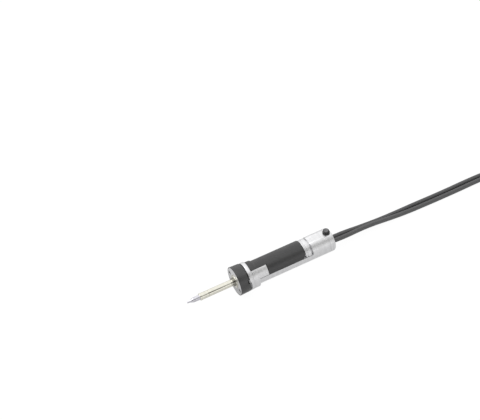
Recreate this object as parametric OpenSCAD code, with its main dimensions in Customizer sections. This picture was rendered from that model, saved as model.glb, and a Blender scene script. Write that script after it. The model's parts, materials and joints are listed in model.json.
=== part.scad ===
// In-line vacuum desoldering iron, lying on a flat surface with its button upwards.
// The tool is drawn about its own axis: x runs from the front plate (x = 0) to the rear end,
// z points to the button. placed() then lays it down on its guard ring and its rear end.

/* [Nozzle and barrel] */
// From the front plate to the nozzle's tip
nose_reach = 60.5; // [58:0.5:64]
// Diameter of the hole that draws the solder in
orifice_d = 1.0; // [0.8:0.1:1.4]
// Outer diameter of the heater barrel
barrel_d = 8.2; // [8:0.1:8.6]

/* [Guard ring] */
// Diameter at the ring's front edge
ring_front_d = 35; // [34.5:0.1:36]
// Diameter at the ring's rear edge
ring_rear_d = 34; // [33:0.1:34]
// Length along the axis
ring_length = 11.9; // [11.6:0.1:11.9]

/* [Handle] */
// Diameter of the body tube
body_d = 28.0; // [27.8:0.1:28]
// Diameter of the grip cover
grip_d = 28.4; // [28.4:0.1:28.6]
// Rear end of the grip cover
grip_end = 86.6; // [84:0.1:86.6]
// Rear end of the block in the grip's cut-out
block_end = 38; // [34:0.5:39]
// Rear end of the tool
rear_end = 126.5; // [126:0.1:127]

/* [Button] */
// Distance of the button behind the front plate
button_x = 121; // [120.5:0.1:121]
// Diameter of the button
button_d = 7.2; // [6.8:0.1:7.2]
// Height of the button above the flat
button_proud = 4.2; // [3.8:0.1:4.4]

/* [Travel] */
// How far the nose slides back when it is pressed on a joint
nose_travel = 1.2; // [0.8:0.1:1.2]
// How far the clamp collar pulls back
clamp_travel = 1.7; // [1.2:0.1:1.7]
// How far the button goes down
button_travel = 1.2; // [0.8:0.1:1.2]

/* [Cords] */
// Diameter of the power cable and of the vacuum hose
cord_d = 5.5; // [5:0.1:5.5]

/* [Hidden] */

cut = 0.5; // overshoot of a cutting solid
fine = 96; // sides of a round on screen
slip = 0.1; // radial play of the large sliding fits
close = 0.07; // radial play of the small sliding fits
seat = 0.05; // play of a piece in its seat

// Stations along the axis
tip_x = -nose_reach;
nut_front = -45;
nut_rear = -34;
recess_x = 0.6;
plate_rear = 1.8;
block_front = 3.05;
block_rear = 8;
spigot_front = 9.8;
flange_front = 13.3;
flange_rear = 17.8;
screw_x = 22;
collar_rear = 25.5;
plug_rear = 27;
seal_front = 35;
glass_front = 39;
glass_rear = 78;
carrier_front = 81;
neck_front = grip_end + 0.4;
neck_rear = 94.2;
housing_front = 96;
guide_rear = 107;
plate_front = 124;

// Radii about the axis
barrel_r = barrel_d / 2;
orifice_r = orifice_d / 2;
ring_front_r = ring_front_d / 2;
ring_rear_r = ring_rear_d / 2;
recess_r = 8.05; // seat of the barrel flange in the front plate
ring_bore_r = 14.6;
flange_r = 16.8;
collar_r = 16.5;
spigot_r = 13.7; // front of the housing, inside the slide bush
body_r = body_d / 2;
grip_r = grip_d / 2;
shell_r = 11.25; // inside of the body tube
cover_r = 12.3; // inside of the grip cover
rail_z = 1.9; // upper edges of the body tube, which the cover sits on
corner_r = 7; // lower rear corners of the grip cover
sleeve_r = 10.7; // sliding sleeve of the clamp collar
sleeve_in_r = 9.2;
glass_r = 8.5;
glass_in_r = 7.4;
suction_r = 1.5;
suction_in_r = 1.1;
nipple_r = 2.4;
passage_r = 1.3; // vacuum passage behind the filter
screw_circle_r = 12.6; // plate screws
screw_turn = 70; // plate screws, from the top towards the far side
lock_turn = 150; // screw of the front collar

// Rear housing
edge_r = 3; // rounding of the rear edge
flat_z = body_r - 1.32; // top flat that carries the button
button_r = button_d / 2;
bezel_top = flat_z + 1.8;
board_z = 3.5;
board_t = 1;
switch_top = 6.6;
lug_y = 8; // lugs for the end screws
lug_z = -4.9;
cord_y = cord_d / 2;
cord_z = -2.4; // height of the cords' exit
grommet_end = 128.5;

// Heater leads run below the collector, side by side
lead_r = 0.65;
lead_y = 1.5;
lead_z = -9.95;

// The tool rests on the guard ring's front edge and on the rear end
ring_edge = 0.4; // rounding of the ring's front edge
rest_x = rear_end - edge_r;
tilt = atan((ring_front_r - body_r) / (rest_x - ring_edge));
stand_z = ring_front_r * cos(tilt) + ring_edge * sin(tilt);
tip_r = orifice_r + 0.45;
low_x = tip_x * cos(tilt) - tip_r * sin(tilt);
high_x = rear_end * cos(tilt) + (body_r - edge_r) * sin(tilt);
stand_x = -(low_x + high_x) / 2;

// Free stretch of each cord, from the grommet to the hank
cable_route = [
    [95.4, -2.75, 11.4], [106.0, -2.9, 10.6], [117.5, -2.8, 10.0], [129.0, -2.5, 9.6],
    [141.0, -2.5, 9.0], [153.0, -2.7, 7.9], [165.0, -3.0, 6.3], [177.0, -3.2, 4.7],
    [190.0, -3.6, 3.5], [204.0, -4.1, 2.85], [218.0, -4.7, 2.75], [232.0, -5.3, 2.75],
    [246.0, -5.8, 2.75], [260.0, -6.2, 2.75], [274.0, -6.4, 2.75], [288.0, -6.6, 2.75],
    [302.0, -7.3, 2.75], [316.0, -9.0, 2.75], [330.0, -12.4, 2.9], [344.0, -16.8, 3.2],
    [358.0, -20.6, 3.5], [372.0, -22.0, 3.55]
];
hose_route = [
    [95.4, 2.75, 11.4], [106.0, 2.9, 10.7], [117.5, 2.8, 9.6], [129.0, 2.6, 8.1],
    [141.0, 2.6, 6.5], [153.0, 2.8, 4.9], [165.0, 2.9, 3.7], [177.0, 2.9, 3.0],
    [190.0, 2.6, 2.75], [204.0, 2.2, 2.75], [218.0, 1.6, 2.75], [232.0, 1.0, 2.75],
    [246.0, 0.5, 2.75], [260.0, 0.2, 2.75], [274.0, 0.0, 2.75], [288.0, -0.4, 2.75],
    [302.0, -1.2, 2.75], [316.0, -3.0, 2.75], [330.0, -6.4, 2.9], [344.0, -10.8, 3.2],
    [358.0, -14.8, 3.5], [372.0, -16.5, 3.55]
];
// Last stretch of each cord, which rises out of the hank and ends on top of it
cable_tail = [
    [376.0, -22.0, 20.05], [384.0, -22.0, 21.1], [392.0, -22.0, 23.7], [400.0, -20.8, 26.8],
    [408.0, -19.7, 29.4], [416.0, -19.25, 30.45]
];
hose_tail = [
    [456.0, 16.5, 20.05], [448.0, 16.5, 20.4], [439.0, 16.5, 21.3], [430.0, 16.5, 23.0],
    [421.0, 17.1, 25.3], [412.0, 18.5, 27.2], [404.0, 19.25, 27.85]
];

// Hank of four layers: the cable is the outer strand of each layer and the hose the inner one
hank_x = 372;
hank_run = 85;
hank_out_r = 24.75;
hank_mid_r = hank_out_r - cord_d;
hank_in_r = hank_mid_r - cord_d;
hank_high = 4 * cord_d;
tie_t = 0.8;
tie_w = 9;
near_tie_x = 424.5;
far_tie_x = 392;

// Shapes about the tool's axis

module placed() translate([stand_x, 0, stand_z]) rotate([0, tilt, 0]) children();

module along_x(x) translate([x, 0, 0]) rotate([0, 90, 0]) children();

module turned(profile) rotate([0, 90, 0]) rotate_extrude($fn = fine)
    polygon([for (p = profile) [p[1], p[0]]]);

module rod(x0, x1, r) along_x(x0) cylinder(h = x1 - x0, r = r, $fn = fine);

module tube(x0, x1, r_out, r_in) {
    difference() {
        rod(x0, x1, r_out);
        rod(x0 - cut, x1 + cut, r_in);
    }
}

// Wedge about the axis between two angles, counted from the top towards the far side
module wedge(x0, x1, from, to) {
    reach = 40;
    steps = 8;
    fan = [for (i = [0 : steps]) let (a = from + (to - from) * i / steps) reach * [-cos(a), sin(a)]];
    along_x(x0) linear_extrude(x1 - x0) polygon(concat([[0, 0]], fan));
}

module tube_part(x0, x1, r_out, r_in, from, to) {
    intersection() {
        tube(x0, x1, r_out, r_in);
        wedge(x0 - cut, x1 + cut, from, to);
    }
}

// Places a child at a radius and an angle from the top
module around(r, angle) rotate([-angle, 0, 0]) translate([0, 0, r]) children();

module block(low, high) translate(low) cube(high - low);

function arc(x, r, radius, from, to, steps = 5) = [
    for (i = [0 : steps])
        let (a = from + (to - from) * i / steps)
        [x + radius * sin(a), r + radius * cos(a)]
];

// Slot outline for the pair of cords, along x
module twin(x0, x1, r) {
    for (side = [-1, 1]) translate([0, side * cord_y, cord_z]) rod(x0, x1, r);
    block([x0, -cord_y, cord_z - r], [x1, cord_y, cord_z + r]);
}

// Closed skin over a list of rings of equal count
module skin(rings) {
    n = len(rings[0]);
    last = len(rings) - 1;
    sides = [
        for (i = [0 : last - 1]) for (j = [0 : n - 1])
            let (a = i * n + j, b = i * n + (j + 1) % n) each [[a, b, b + n], [a, b + n, a + n]]
    ];
    front = [for (j = [n - 1 : -1 : 0]) j];
    back = [for (j = [0 : n - 1]) last * n + j];
    polyhedron([for (ring = rings) each ring], concat(sides, [front, back]));
}

function unit(v) = v / norm(v);

function ring_at(centre, along, r, sides) =
    let (side = unit(cross(along, [0, 0, 1])), up = cross(side, along))
    [for (j = [0 : sides - 1]) let (a = 360 * j / sides) centre + r * (cos(a) * side + sin(a) * up)];

function heading(path, i) = unit(path[min(i + 1, len(path) - 1)] - path[max(i - 1, 0)]);

module swept(path, r, sides = 8) {
    skin([for (i = [0 : len(path) - 1]) ring_at(path[i], heading(path, i), r, sides)]);
}

// Helical compression spring from x0 to x1
module spring(x0, x1, r, wire_r, turns) {
    steps = turns * 14;
    pitch_x = (x1 - x0 - 2 * wire_r) / steps;
    skin([
        for (i = [0 : steps])
            let (a = 360 * turns * i / steps, out = [0, sin(a), cos(a)])
            [for (j = [0 : 5]) let (b = 60 * j)
                [x0 + wire_r + pitch_x * i, 0, 0] + (r + wire_r * cos(b)) * out - [wire_r * sin(b), 0, 0]]
    ]);
}

// Nose: slides back as one when the nozzle is pressed on a joint

module nozzle() {
    flange_x = nut_front + 1;
    color("lavender") placed() difference() {
        turned([
            [tip_x, 0], [tip_x, tip_r], [tip_x + 3, tip_r + 0.25], [tip_x + 7.2, 2.8], [nut_front - 2.6, 3],
            [flange_x, 3], [flange_x, 3.3], [flange_x + 2, 3.3], [flange_x + 2, 1.7], [flange_x + 6, 1.7], [flange_x + 6, 0]
        ]);
        rod(tip_x - cut, flange_x + 6 + cut, orifice_r);
        rod(tip_x + 9, flange_x + 6 + cut, suction_in_r);
    }
}

module nozzle_nut() {
    color("khaki") placed() difference() {
        turned([
            [nut_front, 0], [nut_front, 4], [nut_front + 0.4, 4.4], [nut_front + 1.9, 4.4],
            [nut_front + 2.1, 4.15], [nut_rear - 0.3, 4.15], [nut_rear, 3.9], [nut_rear, 0]
        ]);
        rod(nut_front - cut, nut_rear + cut, 3.05);
        rod(nut_front + 0.95, nut_rear + cut, 3.4);
    }
}

module heater_barrel() {
    neck = 3.35;
    shoulder = nut_front + 3.05;
    color("khaki") placed() difference() {
        turned([
            [shoulder, 0], [shoulder, neck], [nut_rear + seat, neck], [nut_rear + seat, barrel_r - 0.2],
            [nut_rear + 0.3, barrel_r], [5.9, barrel_r], [5.9, 0]
        ]);
        rod(shoulder - cut, nut_rear + 2, 2.9);
        rod(nut_rear + 1, 5.9 + cut, 3.6);
    }
}

module barrel_flange() {
    rear = recess_x - 0.02;
    color("khaki") placed() difference() {
        turned([
            [-3, 0], [-3, 4.9], [-2.7, 5.2], [-0.8, 5.2], [-0.8, recess_r - seat - 0.3],
            [-0.5, recess_r - seat], [rear, recess_r - seat], [rear, 0]
        ]);
        rod(-3 - cut, 1, barrel_r + seat);
    }
}

core_front = -32.5;
core_rear = -5;

module heater_core() {
    color("white") placed() difference() {
        turned([
            [nut_front + 3.1, 0], [nut_front + 3.1, 2.8], [core_front, 2.8], [core_front, 3.4],
            [core_front + 1.3, 3.4], [core_front + 1.3, 2.4], [core_rear - 1.3, 2.4], [core_rear - 1.3, 3.4],
            [core_rear, 3.4], [core_rear, 0]
        ]);
        rod(nut_front, nut_front + 7.1, 1.75);
        rod(nut_front, core_rear + cut, suction_r + seat);
    }
}

module heater_winding() {
    turns = 22;
    first = core_front + 1.5;
    pitch = (core_rear - core_front - 3) / turns;
    ridges = [for (i = [0 : turns - 1]) let (x = first + i * pitch)
        each [[x, 2.6], [x + 0.25 * pitch, 2.8], [x + 0.75 * pitch, 2.8]]];
    color("sienna") placed() difference() {
        turned(concat([[first, 0]], ridges, [[first + turns * pitch, 2.6], [first + turns * pitch, 0]]));
        rod(first - cut, first + turns * pitch + cut, 2.43);
    }
}

module temperature_sensor() {
    color("gray") placed() translate([0, 0, 3.2]) rod(core_front + 1.6, core_rear - 1.6, 0.32);
}

module suction_tube() {
    rear = glass_front - nose_travel - 0.2;
    color("lightgray") placed() tube(nut_front + 7.02, rear, suction_r, suction_in_r);
}

module front_plate() {
    plate_r = ring_front_r - 0.6;
    color("gainsboro") placed() difference() {
        turned([[0, 0], [0, plate_r - 0.3], [0.3, plate_r], [plate_rear, plate_r], [plate_rear, 0]]);
        rod(-cut, plate_rear + cut, barrel_r + seat);
        rod(-cut, recess_x, recess_r);
        for (turn = [0, 180]) around(screw_circle_r, screw_turn + turn) {
            rod(-cut, plate_rear + cut, 1.3);
            rod(-cut, 1, 2.7);
        }
    }
}

module plate_screws() {
    color("silver") placed() for (turn = [0, 180]) around(screw_circle_r, screw_turn + turn) difference() {
        union() {
            rod(0.25, 0.98, 2.5);
            rod(0.9, block_rear - 0.5, 1.2);
        }
        along_x(-cut) cylinder(h = 1.2, r = 1.15, $fn = 6);
    }
}

// Angles of the stepped joint between the guard ring and the front housing
tooth_from = -72;
tooth_to = -59;
step_from = -130;
tooth_play = 2;
step_x = 1;

module guard_ring() {
    rear = ring_length + step_x;
    notch = ring_length - 1.5;
    color("dimgray") placed() difference() {
        turned(concat(
            [[0, 0]], arc(ring_edge, ring_front_r - ring_edge, ring_edge, -90, 0),
            [[rear - 0.4, ring_rear_r], [rear, ring_rear_r - 0.4], [rear, 0]]
        ));
        rod(-cut, plate_rear, ring_front_r - 0.55);
        rod(-cut, block_front - seat, 14.1);
        rod(block_front - seat, rear + cut, ring_bore_r);
        wedge(ring_length, rear + cut, tooth_to + tooth_play, 360 + step_from);
        wedge(notch, rear + cut, tooth_from - tooth_play, tooth_to + tooth_play);
    }
}

module nose_block() {
    color("wheat") placed() difference() {
        rod(block_front, block_rear, ring_bore_r - seat);
        rod(block_front - cut, 6, barrel_r + seat);
        rod(block_front - cut, block_rear + cut, suction_r + seat);
        for (turn = [0, 180]) around(screw_circle_r, screw_turn + turn)
            rod(block_front - cut, block_rear + cut, 1.25);
        for (side = [-1, 1]) translate([0, side * 9.5, 0]) rod(4, block_rear + cut, 1.2 + seat / 2);
    }
}

module guide_pins() {
    color("silver") placed() for (side = [-1, 1]) translate([0, side * 9.5, 0]) rod(4.05, 17.5, 1.2);
}

module nose_spring() {
    color("silver") placed() spring(block_rear + 0.02, flange_front - 0.02, 3.2, 0.35, 4);
}

module nose_switch() {
    plunger_x = block_rear + nose_travel + seat;
    color("black") placed() {
        block([spigot_front + 0.8, -3, 6.5], [flange_front - 0.02, 3, 12.5]);
        translate([0, 0, 9.5]) rod(plunger_x, spigot_front + 0.9, 1);
    }
}

// Chassis

module front_housing() {
    color("gainsboro") placed() difference() {
        union() {
            rod(spigot_front, flange_front + cut, spigot_r);
            turned([
                [flange_front, 0], [flange_front, flange_r - 0.3], [flange_front + 0.3, flange_r],
                [flange_rear - 0.4, flange_r], [flange_rear, flange_r - 0.4], [flange_rear, 0]
            ]);
            rod(flange_rear - 0.1, plug_rear, shell_r - slip);
            rod(plug_rear - 0.1, seal_front, 9);
            tube_part(flange_front - 1.5, flange_front + 0.1, 16.3, ring_bore_r, tooth_from, tooth_to);
        }
        tube_part(flange_front - cut, flange_front + step_x, 20, ring_bore_r - slip, step_from, tooth_from);
        rod(spigot_front - cut, flange_front, 4.3);
        rod(spigot_front, seal_front + cut, suction_r + slip);
        for (side = [-1, 1]) translate([0, side * 9.5, 0]) rod(spigot_front - cut, 20, 1.2 + close);
        block([spigot_front - cut, -3.1, 6.4], [flange_front, 3.1, 12.6]);
        for (i = [-1 : 1]) translate([0, i * lead_y, lead_z])
            rod(spigot_front - cut, seal_front + cut, lead_r + seat);
        translate([screw_x, 0, 0]) around(7.5, lock_turn) cylinder(h = 12, r = 1.05, $fn = fine);
    }
}

// Black sleeve on the front of the housing, which the guard ring slides on
module slide_bush() {
    color("black") placed() tube(spigot_front, flange_front - 0.02, ring_bore_r - slip, spigot_r + seat);
}

// Clamps the body tube from below and fills the cut-out of the grip with its side block
module front_collar() {
    front = flange_rear + 0.02;
    inner_r = body_r + slip;
    color("gainsboro") placed() difference() {
        union() {
            intersection() {
                turned([
                    [front, inner_r], [front, collar_r], [collar_rear - 0.5, collar_r],
                    [collar_rear, collar_r - 0.5], [collar_rear, inner_r]
                ]);
                wedge(flange_rear - cut, collar_rear + cut, 90, 318);
            }
            tube_part(front, block_end, grip_r, cover_r, 280.5, 332.4);
        }
        translate([screw_x, 0, 0]) around(0, lock_turn) {
            cylinder(h = 20, r = 1.3, $fn = fine);
            translate([0, 0, 14.6]) cylinder(h = 5, r = 2.1, $fn = fine);
        }
    }
}

module body_tube() {
    color("gainsboro") placed() difference() {
        union() {
            difference() {
                turned(concat(
                    [[flange_rear + 0.1, 0], [flange_rear + 0.1, body_r]],
                    arc(rest_x, body_r - edge_r, edge_r, 0, 90), [[rear_end, 0]]
                ));
                rod(0, housing_front, shell_r);
                rod(housing_front - cut, guide_rear + cut, sleeve_r + slip);
                rod(guide_rear, rear_end + cut, shell_r);
            }
            for (side = [-1, 1]) intersection() {
                translate([0, side * lug_y, lug_z]) rod(118, plate_front - 0.02, 2.15);
                rod(117, rear_end, shell_r + 0.5);
            }
        }
        block([0, -20, rail_z], [housing_front, 20, 20]);
        block([housing_front - cut, -20, flat_z], [rear_end + cut, 20, 20]);
        intersection() {
            turned([
                [housing_front - cut, 12.9], [housing_front - cut, 15],
                [housing_front + 0.9, 15], [housing_front, 13]
            ]);
            block([0, -20, rail_z], [rear_end, 20, 20]);
        }
        tube(118.6, 119.4, 20, body_r - 0.35);
        translate([button_x, 0, 0]) cylinder(h = 20, r = 4.15, $fn = fine);
        translate([screw_x, 0, 0]) around(0, lock_turn) cylinder(h = 20, r = 1.3, $fn = fine);
        for (side = [-1, 1]) translate([0, side * lug_y, lug_z]) rod(117, rear_end, 0.85);
    }
}

module housing_screw() {
    color("silver") placed() translate([screw_x, 0, 0]) around(0, lock_turn) difference() {
        union() {
            translate([0, 0, 8]) cylinder(h = 7, r = 1, $fn = fine);
            translate([0, 0, 14.65]) cylinder(h = 1.2, r = 1.95, $fn = fine);
        }
        translate([0, 0, 15.2]) cylinder(h = 1, r = 0.9, $fn = 6);
    }
}

module vacuum_port() {
    color("goldenrod") placed() difference() {
        turned([
            [105, 0], [105, 7], [guide_rear + seat, 7], [guide_rear + seat, shell_r - seat],
            [109.5, shell_r - seat], [109.5, 4], [112, 4], [112, 1.9], [114, 2.1],
            [114, 1.8], [116, 2.1], [116, 0]
        ]);
        rod(105 - cut, 111, nipple_r + close);
        rod(110, 116 + cut, passage_r - 0.1);
        block([guide_rear - 1, -2.4, -12], [110, 2.4, -9]);
    }
}

module inner_hose() {
    path = [
        [116.02, 0, 0], [117, 0, 0], [118.2, 0.5, -0.4], [119.6, 1.4, -1.2], [120.9, 2.3, -2],
        [122, cord_y, cord_z], [122.93, cord_y, cord_z]
    ];
    color("black") placed() swept(path, 1.95, 10);
}

module heater_leads() {
    color("firebrick") placed() for (i = [-1 : 1]) swept([
        for (x = [spigot_front + 0.1, 40, 70, 100, 111]) [x, i * lead_y, lead_z],
        [114, i * lead_y - 0.2, lead_z + 0.5], [117, i * lead_y - 1, -8],
        [119.3, i * lead_y - 2, -5.4], [121, i * lead_y - 2.6, -3.2],
        [122.2, i * lead_y - cord_y, cord_z], [122.93, i * lead_y - cord_y, cord_z]
    ], lead_r);
}

module front_seal() {
    color("orangered") placed() difference() {
        turned([
            [seal_front + 0.02, 0], [seal_front + 0.02, 8], [seal_front + 0.8, 8.6], [seal_front + 1.4, 8.6],
            [seal_front + 1.9, 8.2], [seal_front + 2.4, 8.6], [glass_front, 8.6], [glass_front, 0]
        ]);
        rod(seal_front - cut, glass_front + cut, suction_r + seat);
    }
}

// Cover with the collector clipped into it: lifts off upwards

module grip_cover() {
    rib_r = 9.7;
    lip_r = 15.5;
    lip_end = 24.5;
    bottom = rail_z + 0.15;
    color("dimgray") placed() {
        intersection() {
            difference() {
                turned([
                    [flange_rear + 0.3, 0], [flange_rear + 0.3, lip_r], [lip_end, lip_r], [lip_end + 2, grip_r],
                    [grip_end - 0.5, grip_r], [grip_end, grip_r - 0.5], [grip_end, 0]
                ]);
                rod(0, grip_end + cut, cover_r);
            }
            union() {
                wedge(0, block_end + 0.3 + cut, -27, 90);
                wedge(block_end + 0.3, grip_end + cut, -90, 90);
            }
            difference() {
                block([0, -20, bottom], [grip_end + cut, 20, 20]);
                difference() {
                    block([grip_end - corner_r, -20, bottom - cut], [grip_end + cut, 20, bottom + corner_r]);
                    translate([grip_end - corner_r, 20, bottom + corner_r]) rotate([90, 0, 0])
                        cylinder(h = 40, r = corner_r, $fn = fine);
                }
            }
        }
        for (x = [41, 68]) {
            tube_part(x, x + 2, rib_r, glass_r + seat, -108, 108);
            tube_part(x, x + 2, cover_r + 0.1, rib_r - 0.1, -60, 60);
        }
    }
}

module collector_tube() {
    color("lightcyan", 0.4) placed() tube(glass_front + seat, glass_rear - seat, glass_r, glass_in_r);
}

module collector_baffle() {
    color("silver") placed() difference() {
        turned([[47, 0], [48, 1.6], [52, 3], [52, glass_in_r - seat], [53.2, glass_in_r - seat], [53.2, 0]]);
        for (turn = [0 : 60 : 300]) around(5.1, turn) rod(51, 54, 1.4);
    }
}

module filter_pad() {
    color("white") placed() rod(66, glass_rear - 0.1, glass_in_r - seat);
}

// Clamp: pulls back against its spring and frees the collector

module rear_seal() {
    color("orangered") placed() tube(glass_rear, carrier_front - 0.02, 8.6, 2);
}

module seal_carrier() {
    color("silver") placed() difference() {
        turned([
            [carrier_front, 0], [carrier_front, 7.9], [82.05, 7.9], [82.05, 9], [85, 9],
            [85, 4], [86, nipple_r], [108, nipple_r], [108, 0]
        ]);
        rod(carrier_front - cut, 108 + cut, passage_r);
    }
}

module clamp_collar() {
    rear = guide_rear - clamp_travel - 0.6;
    rib_r = 13.6;
    color("gainsboro") placed() difference() {
        union() {
            rod(carrier_front, rear, sleeve_r);
            intersection() {
                turned([
                    [neck_front, 0], [neck_front, rib_r - 0.3], [neck_front + 0.3, rib_r],
                    [neck_front + 1.7, rib_r], [neck_front + 2, rib_r - 0.6], [neck_front + 2.8, rib_r - 0.6],
                    [neck_front + 3.1, rib_r], [neck_rear - 0.3, rib_r], [neck_rear, rib_r - 0.3],
                    [neck_rear, 0]
                ]);
                block([neck_front - cut, -20, rail_z + 0.15], [neck_rear + cut, 20, 20]);
            }
        }
        rod(carrier_front - cut, rear + cut, 8);
        rod(82, rear + cut, sleeve_in_r);
        wedge(carrier_front - cut, rear + cut, 165, 195);
    }
}

module clamp_spring() {
    color("silver") placed() spring(85.02, 104.98, 5.4, 0.45, 7);
}

// Button on the flat of the rear housing

module button_cap() {
    top = flat_z + button_proud;
    foot = switch_top + button_travel + 0.1;
    color("black") placed() translate([button_x, 0, 0]) difference() {
        rotate_extrude($fn = fine) polygon([
            [0, foot], [3.9, foot], [3.9, foot + 0.7], [button_r, foot + 0.7],
            [button_r, top - 0.9], [button_r - 0.4, top - 0.35], [button_r - 1.3, top - 0.08], [0, top]
        ]);
        cylinder(h = 12, r = 2.85, $fn = fine);
    }
}

module button_bezel() {
    inner_r = button_r + close;
    color("silver") placed() translate([button_x, 0, 0]) rotate_extrude($fn = fine) polygon([
        [inner_r, 8.9], [4.1, 8.9], [4.1, flat_z + 0.02], [4.4, flat_z + 0.02],
        [4.4, bezel_top - 0.5], [3.9, bezel_top], [inner_r, bezel_top]
    ]);
}

module button_spring() {
    color("silver") placed() translate([button_x, 0, 0]) rotate([0, -90, 0])
        spring(6.12, 11.98, 2.3, 0.25, 5);
}

module button_switch() {
    floor_z = board_z + board_t;
    color("black") placed() {
        block([button_x - 2.9, -2.9, floor_z + 0.02], [button_x + 2.9, 2.9, 6.1]);
        translate([button_x, 0, 6]) cylinder(h = switch_top - 6, r = 1.6, $fn = fine);
    }
}

module switch_board() {
    color("darkgreen") placed() block([115.6, -9.4, board_z], [plate_front - 0.05, 9.4, board_z + board_t]);
}

module end_plate() {
    color("gainsboro") placed() difference() {
        union() {
            rod(plate_front, plate_front + 2, shell_r - seat);
            for (side = [-1, 1]) translate([0, side * 7.75, 0])
                block([115.5, -1.5, 2.2], [plate_front + 1, 1.5, board_z - 0.02]);
        }
        twin(plate_front - cut, plate_front + 2 + cut, 3.05);
        for (side = [-1, 1]) translate([0, side * lug_y, lug_z]) {
            rod(plate_front - cut, plate_front + 2 + cut, 0.95);
            rod(plate_front + 0.8, plate_front + 2 + cut, 1.65);
        }
        translate([button_x, 0, 6.4]) cylinder(h = 10, r = 4.4, $fn = fine);
    }
}

module end_screws() {
    color("silver") placed() for (side = [-1, 1]) translate([0, side * lug_y, lug_z]) difference() {
        union() {
            rod(119, plate_front + 1, 0.8);
            rod(plate_front + 0.82, plate_front + 1.9, 1.6);
        }
        along_x(plate_front + 1.3) cylinder(h = 1, r = 0.8, $fn = 6);
    }
}

module cord_grommet() {
    color("black") placed() {
        twin(122.95, plate_front - 0.02, 3.5);
        twin(122.95, grommet_end, 3);
    }
}

// Cords, laid on the surface that the tool lies on

module power_cable() {
    color("dimgray") {
        swept(cable_route, cord_d / 2);
        swept(cable_tail, cord_d / 2);
    }
}

module vacuum_hose() {
    color("dimgray") {
        swept(hose_route, cord_d / 2);
        swept(hose_tail, cord_d / 2);
    }
}

module lanes(r, z, height) translate([0, 0, z]) linear_extrude(height) {
    for (x = [hank_x, hank_x + hank_run]) translate([x, 0]) circle(r, $fn = fine);
    translate([hank_x, -r]) square([hank_run, 2 * r]);
}

// The cords come in through the lowest layer, where the near fold is open
module hank(r_out, r_in) difference() {
    lanes(r_out, tie_t, hank_high);
    lanes(r_in, tie_t - cut, hank_high + 2 * cut);
    block([hank_x - 30, -30, 0], [hank_x - 1, 30, tie_t + cord_d]);
}

module power_hank() {
    color("dimgray") hank(hank_out_r, hank_mid_r);
}

module hose_hank() {
    color("dimgray") hank(hank_mid_r, hank_in_r);
}

module hank_ties() {
    middle = hank_mid_r;
    half = cord_d;
    top = tie_t + hank_high;
    color("black") for (place = [[near_tie_x, -middle], [far_tie_x, middle]]) translate(place) difference() {
        block([0, -half - tie_t, 0], [tie_w, half + tie_t, top + tie_t]);
        block([-cut, -half, tie_t], [tie_w + cut, half, top]);
    }
}

module power_plug() {
    color("black") translate(cable_tail[len(cable_tail) - 1]) {
        turned([
            [0, 0], [0, 3.4], [6, 4.2], [7, 6.2], [8, 6.8], [18, 6.8], [19, 6.2], [19, 5.5],
            [28, 5.5], [28.4, 5.1], [28.4, 0]
        ]);
        for (turn = [0 : 72 : 288]) around(3.2, turn) rod(28, 32, 0.55);
    }
}

module hose_fitting() {
    color("silver") translate(hose_tail[len(hose_tail) - 1]) mirror([1, 0, 0]) difference() {
        turned([
            [0, 0], [0, 3.4], [5, 3.6], [5.2, 4.2], [8, 4.2], [8.2, 3], [18, 3], [18.6, 2.5], [18.6, 0]
        ]);
        rod(-cut, 19 + cut, 1.5);
    }
}

nozzle();
nozzle_nut();
heater_barrel();
barrel_flange();
heater_core();
heater_winding();
temperature_sensor();
suction_tube();
front_plate();
plate_screws();
guard_ring();
nose_block();
guide_pins();
nose_spring();
nose_switch();
slide_bush();
front_housing();
front_collar();
body_tube();
housing_screw();
grip_cover();
collector_tube();
collector_baffle();
filter_pad();
front_seal();
rear_seal();
seal_carrier();
clamp_collar();
clamp_spring();
vacuum_port();
inner_hose();
heater_leads();
button_cap();
button_bezel();
button_spring();
button_switch();
switch_board();
end_plate();
end_screws();
cord_grommet();
power_cable();
power_hank();
power_plug();
vacuum_hose();
hose_hank();
hose_fitting();
hank_ties();
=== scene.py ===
"""Looks of an in-line vacuum desoldering iron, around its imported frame.

Sizes are in millimetres in the tool's own frame, as in the construction model: x runs from the front plate
to the rear end, z points to the button, and an angle about the axis counts from the top towards the far
side. ToolFrame lays such points into the shared frame, in metres.
"""

import json
import logging
import math
from dataclasses import dataclass, field
from enum import Enum
from typing import Callable, Optional, Sequence

import bmesh
import bpy
import numpy as np
from mathutils import Matrix, Vector


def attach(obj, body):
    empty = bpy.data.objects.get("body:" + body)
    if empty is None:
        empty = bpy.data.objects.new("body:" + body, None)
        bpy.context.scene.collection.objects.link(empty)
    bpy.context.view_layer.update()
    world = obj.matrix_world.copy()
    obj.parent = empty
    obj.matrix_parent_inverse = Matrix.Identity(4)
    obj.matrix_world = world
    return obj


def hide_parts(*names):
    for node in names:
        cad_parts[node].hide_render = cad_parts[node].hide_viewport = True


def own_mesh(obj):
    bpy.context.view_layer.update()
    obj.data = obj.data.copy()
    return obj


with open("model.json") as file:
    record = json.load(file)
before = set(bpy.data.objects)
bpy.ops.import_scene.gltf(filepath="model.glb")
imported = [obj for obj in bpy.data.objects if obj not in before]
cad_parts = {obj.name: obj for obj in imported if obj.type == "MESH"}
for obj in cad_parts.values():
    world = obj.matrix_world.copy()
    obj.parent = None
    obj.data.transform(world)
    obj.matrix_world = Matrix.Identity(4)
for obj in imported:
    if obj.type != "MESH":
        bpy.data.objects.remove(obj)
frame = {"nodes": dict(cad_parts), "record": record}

MM = 0.001
SPRING_GAP = 0.02
LOG = logging.getLogger("desoldering_iron")

Array = np.ndarray
Colour = tuple[float, float, float]
Socket = bpy.types.NodeSocket


class Body(Enum):
    """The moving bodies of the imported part."""

    CHASSIS = "chassis"
    NOSE = "nose"
    COVER = "cover"
    CLAMP = "clamp"
    BUTTON = "button"


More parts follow.
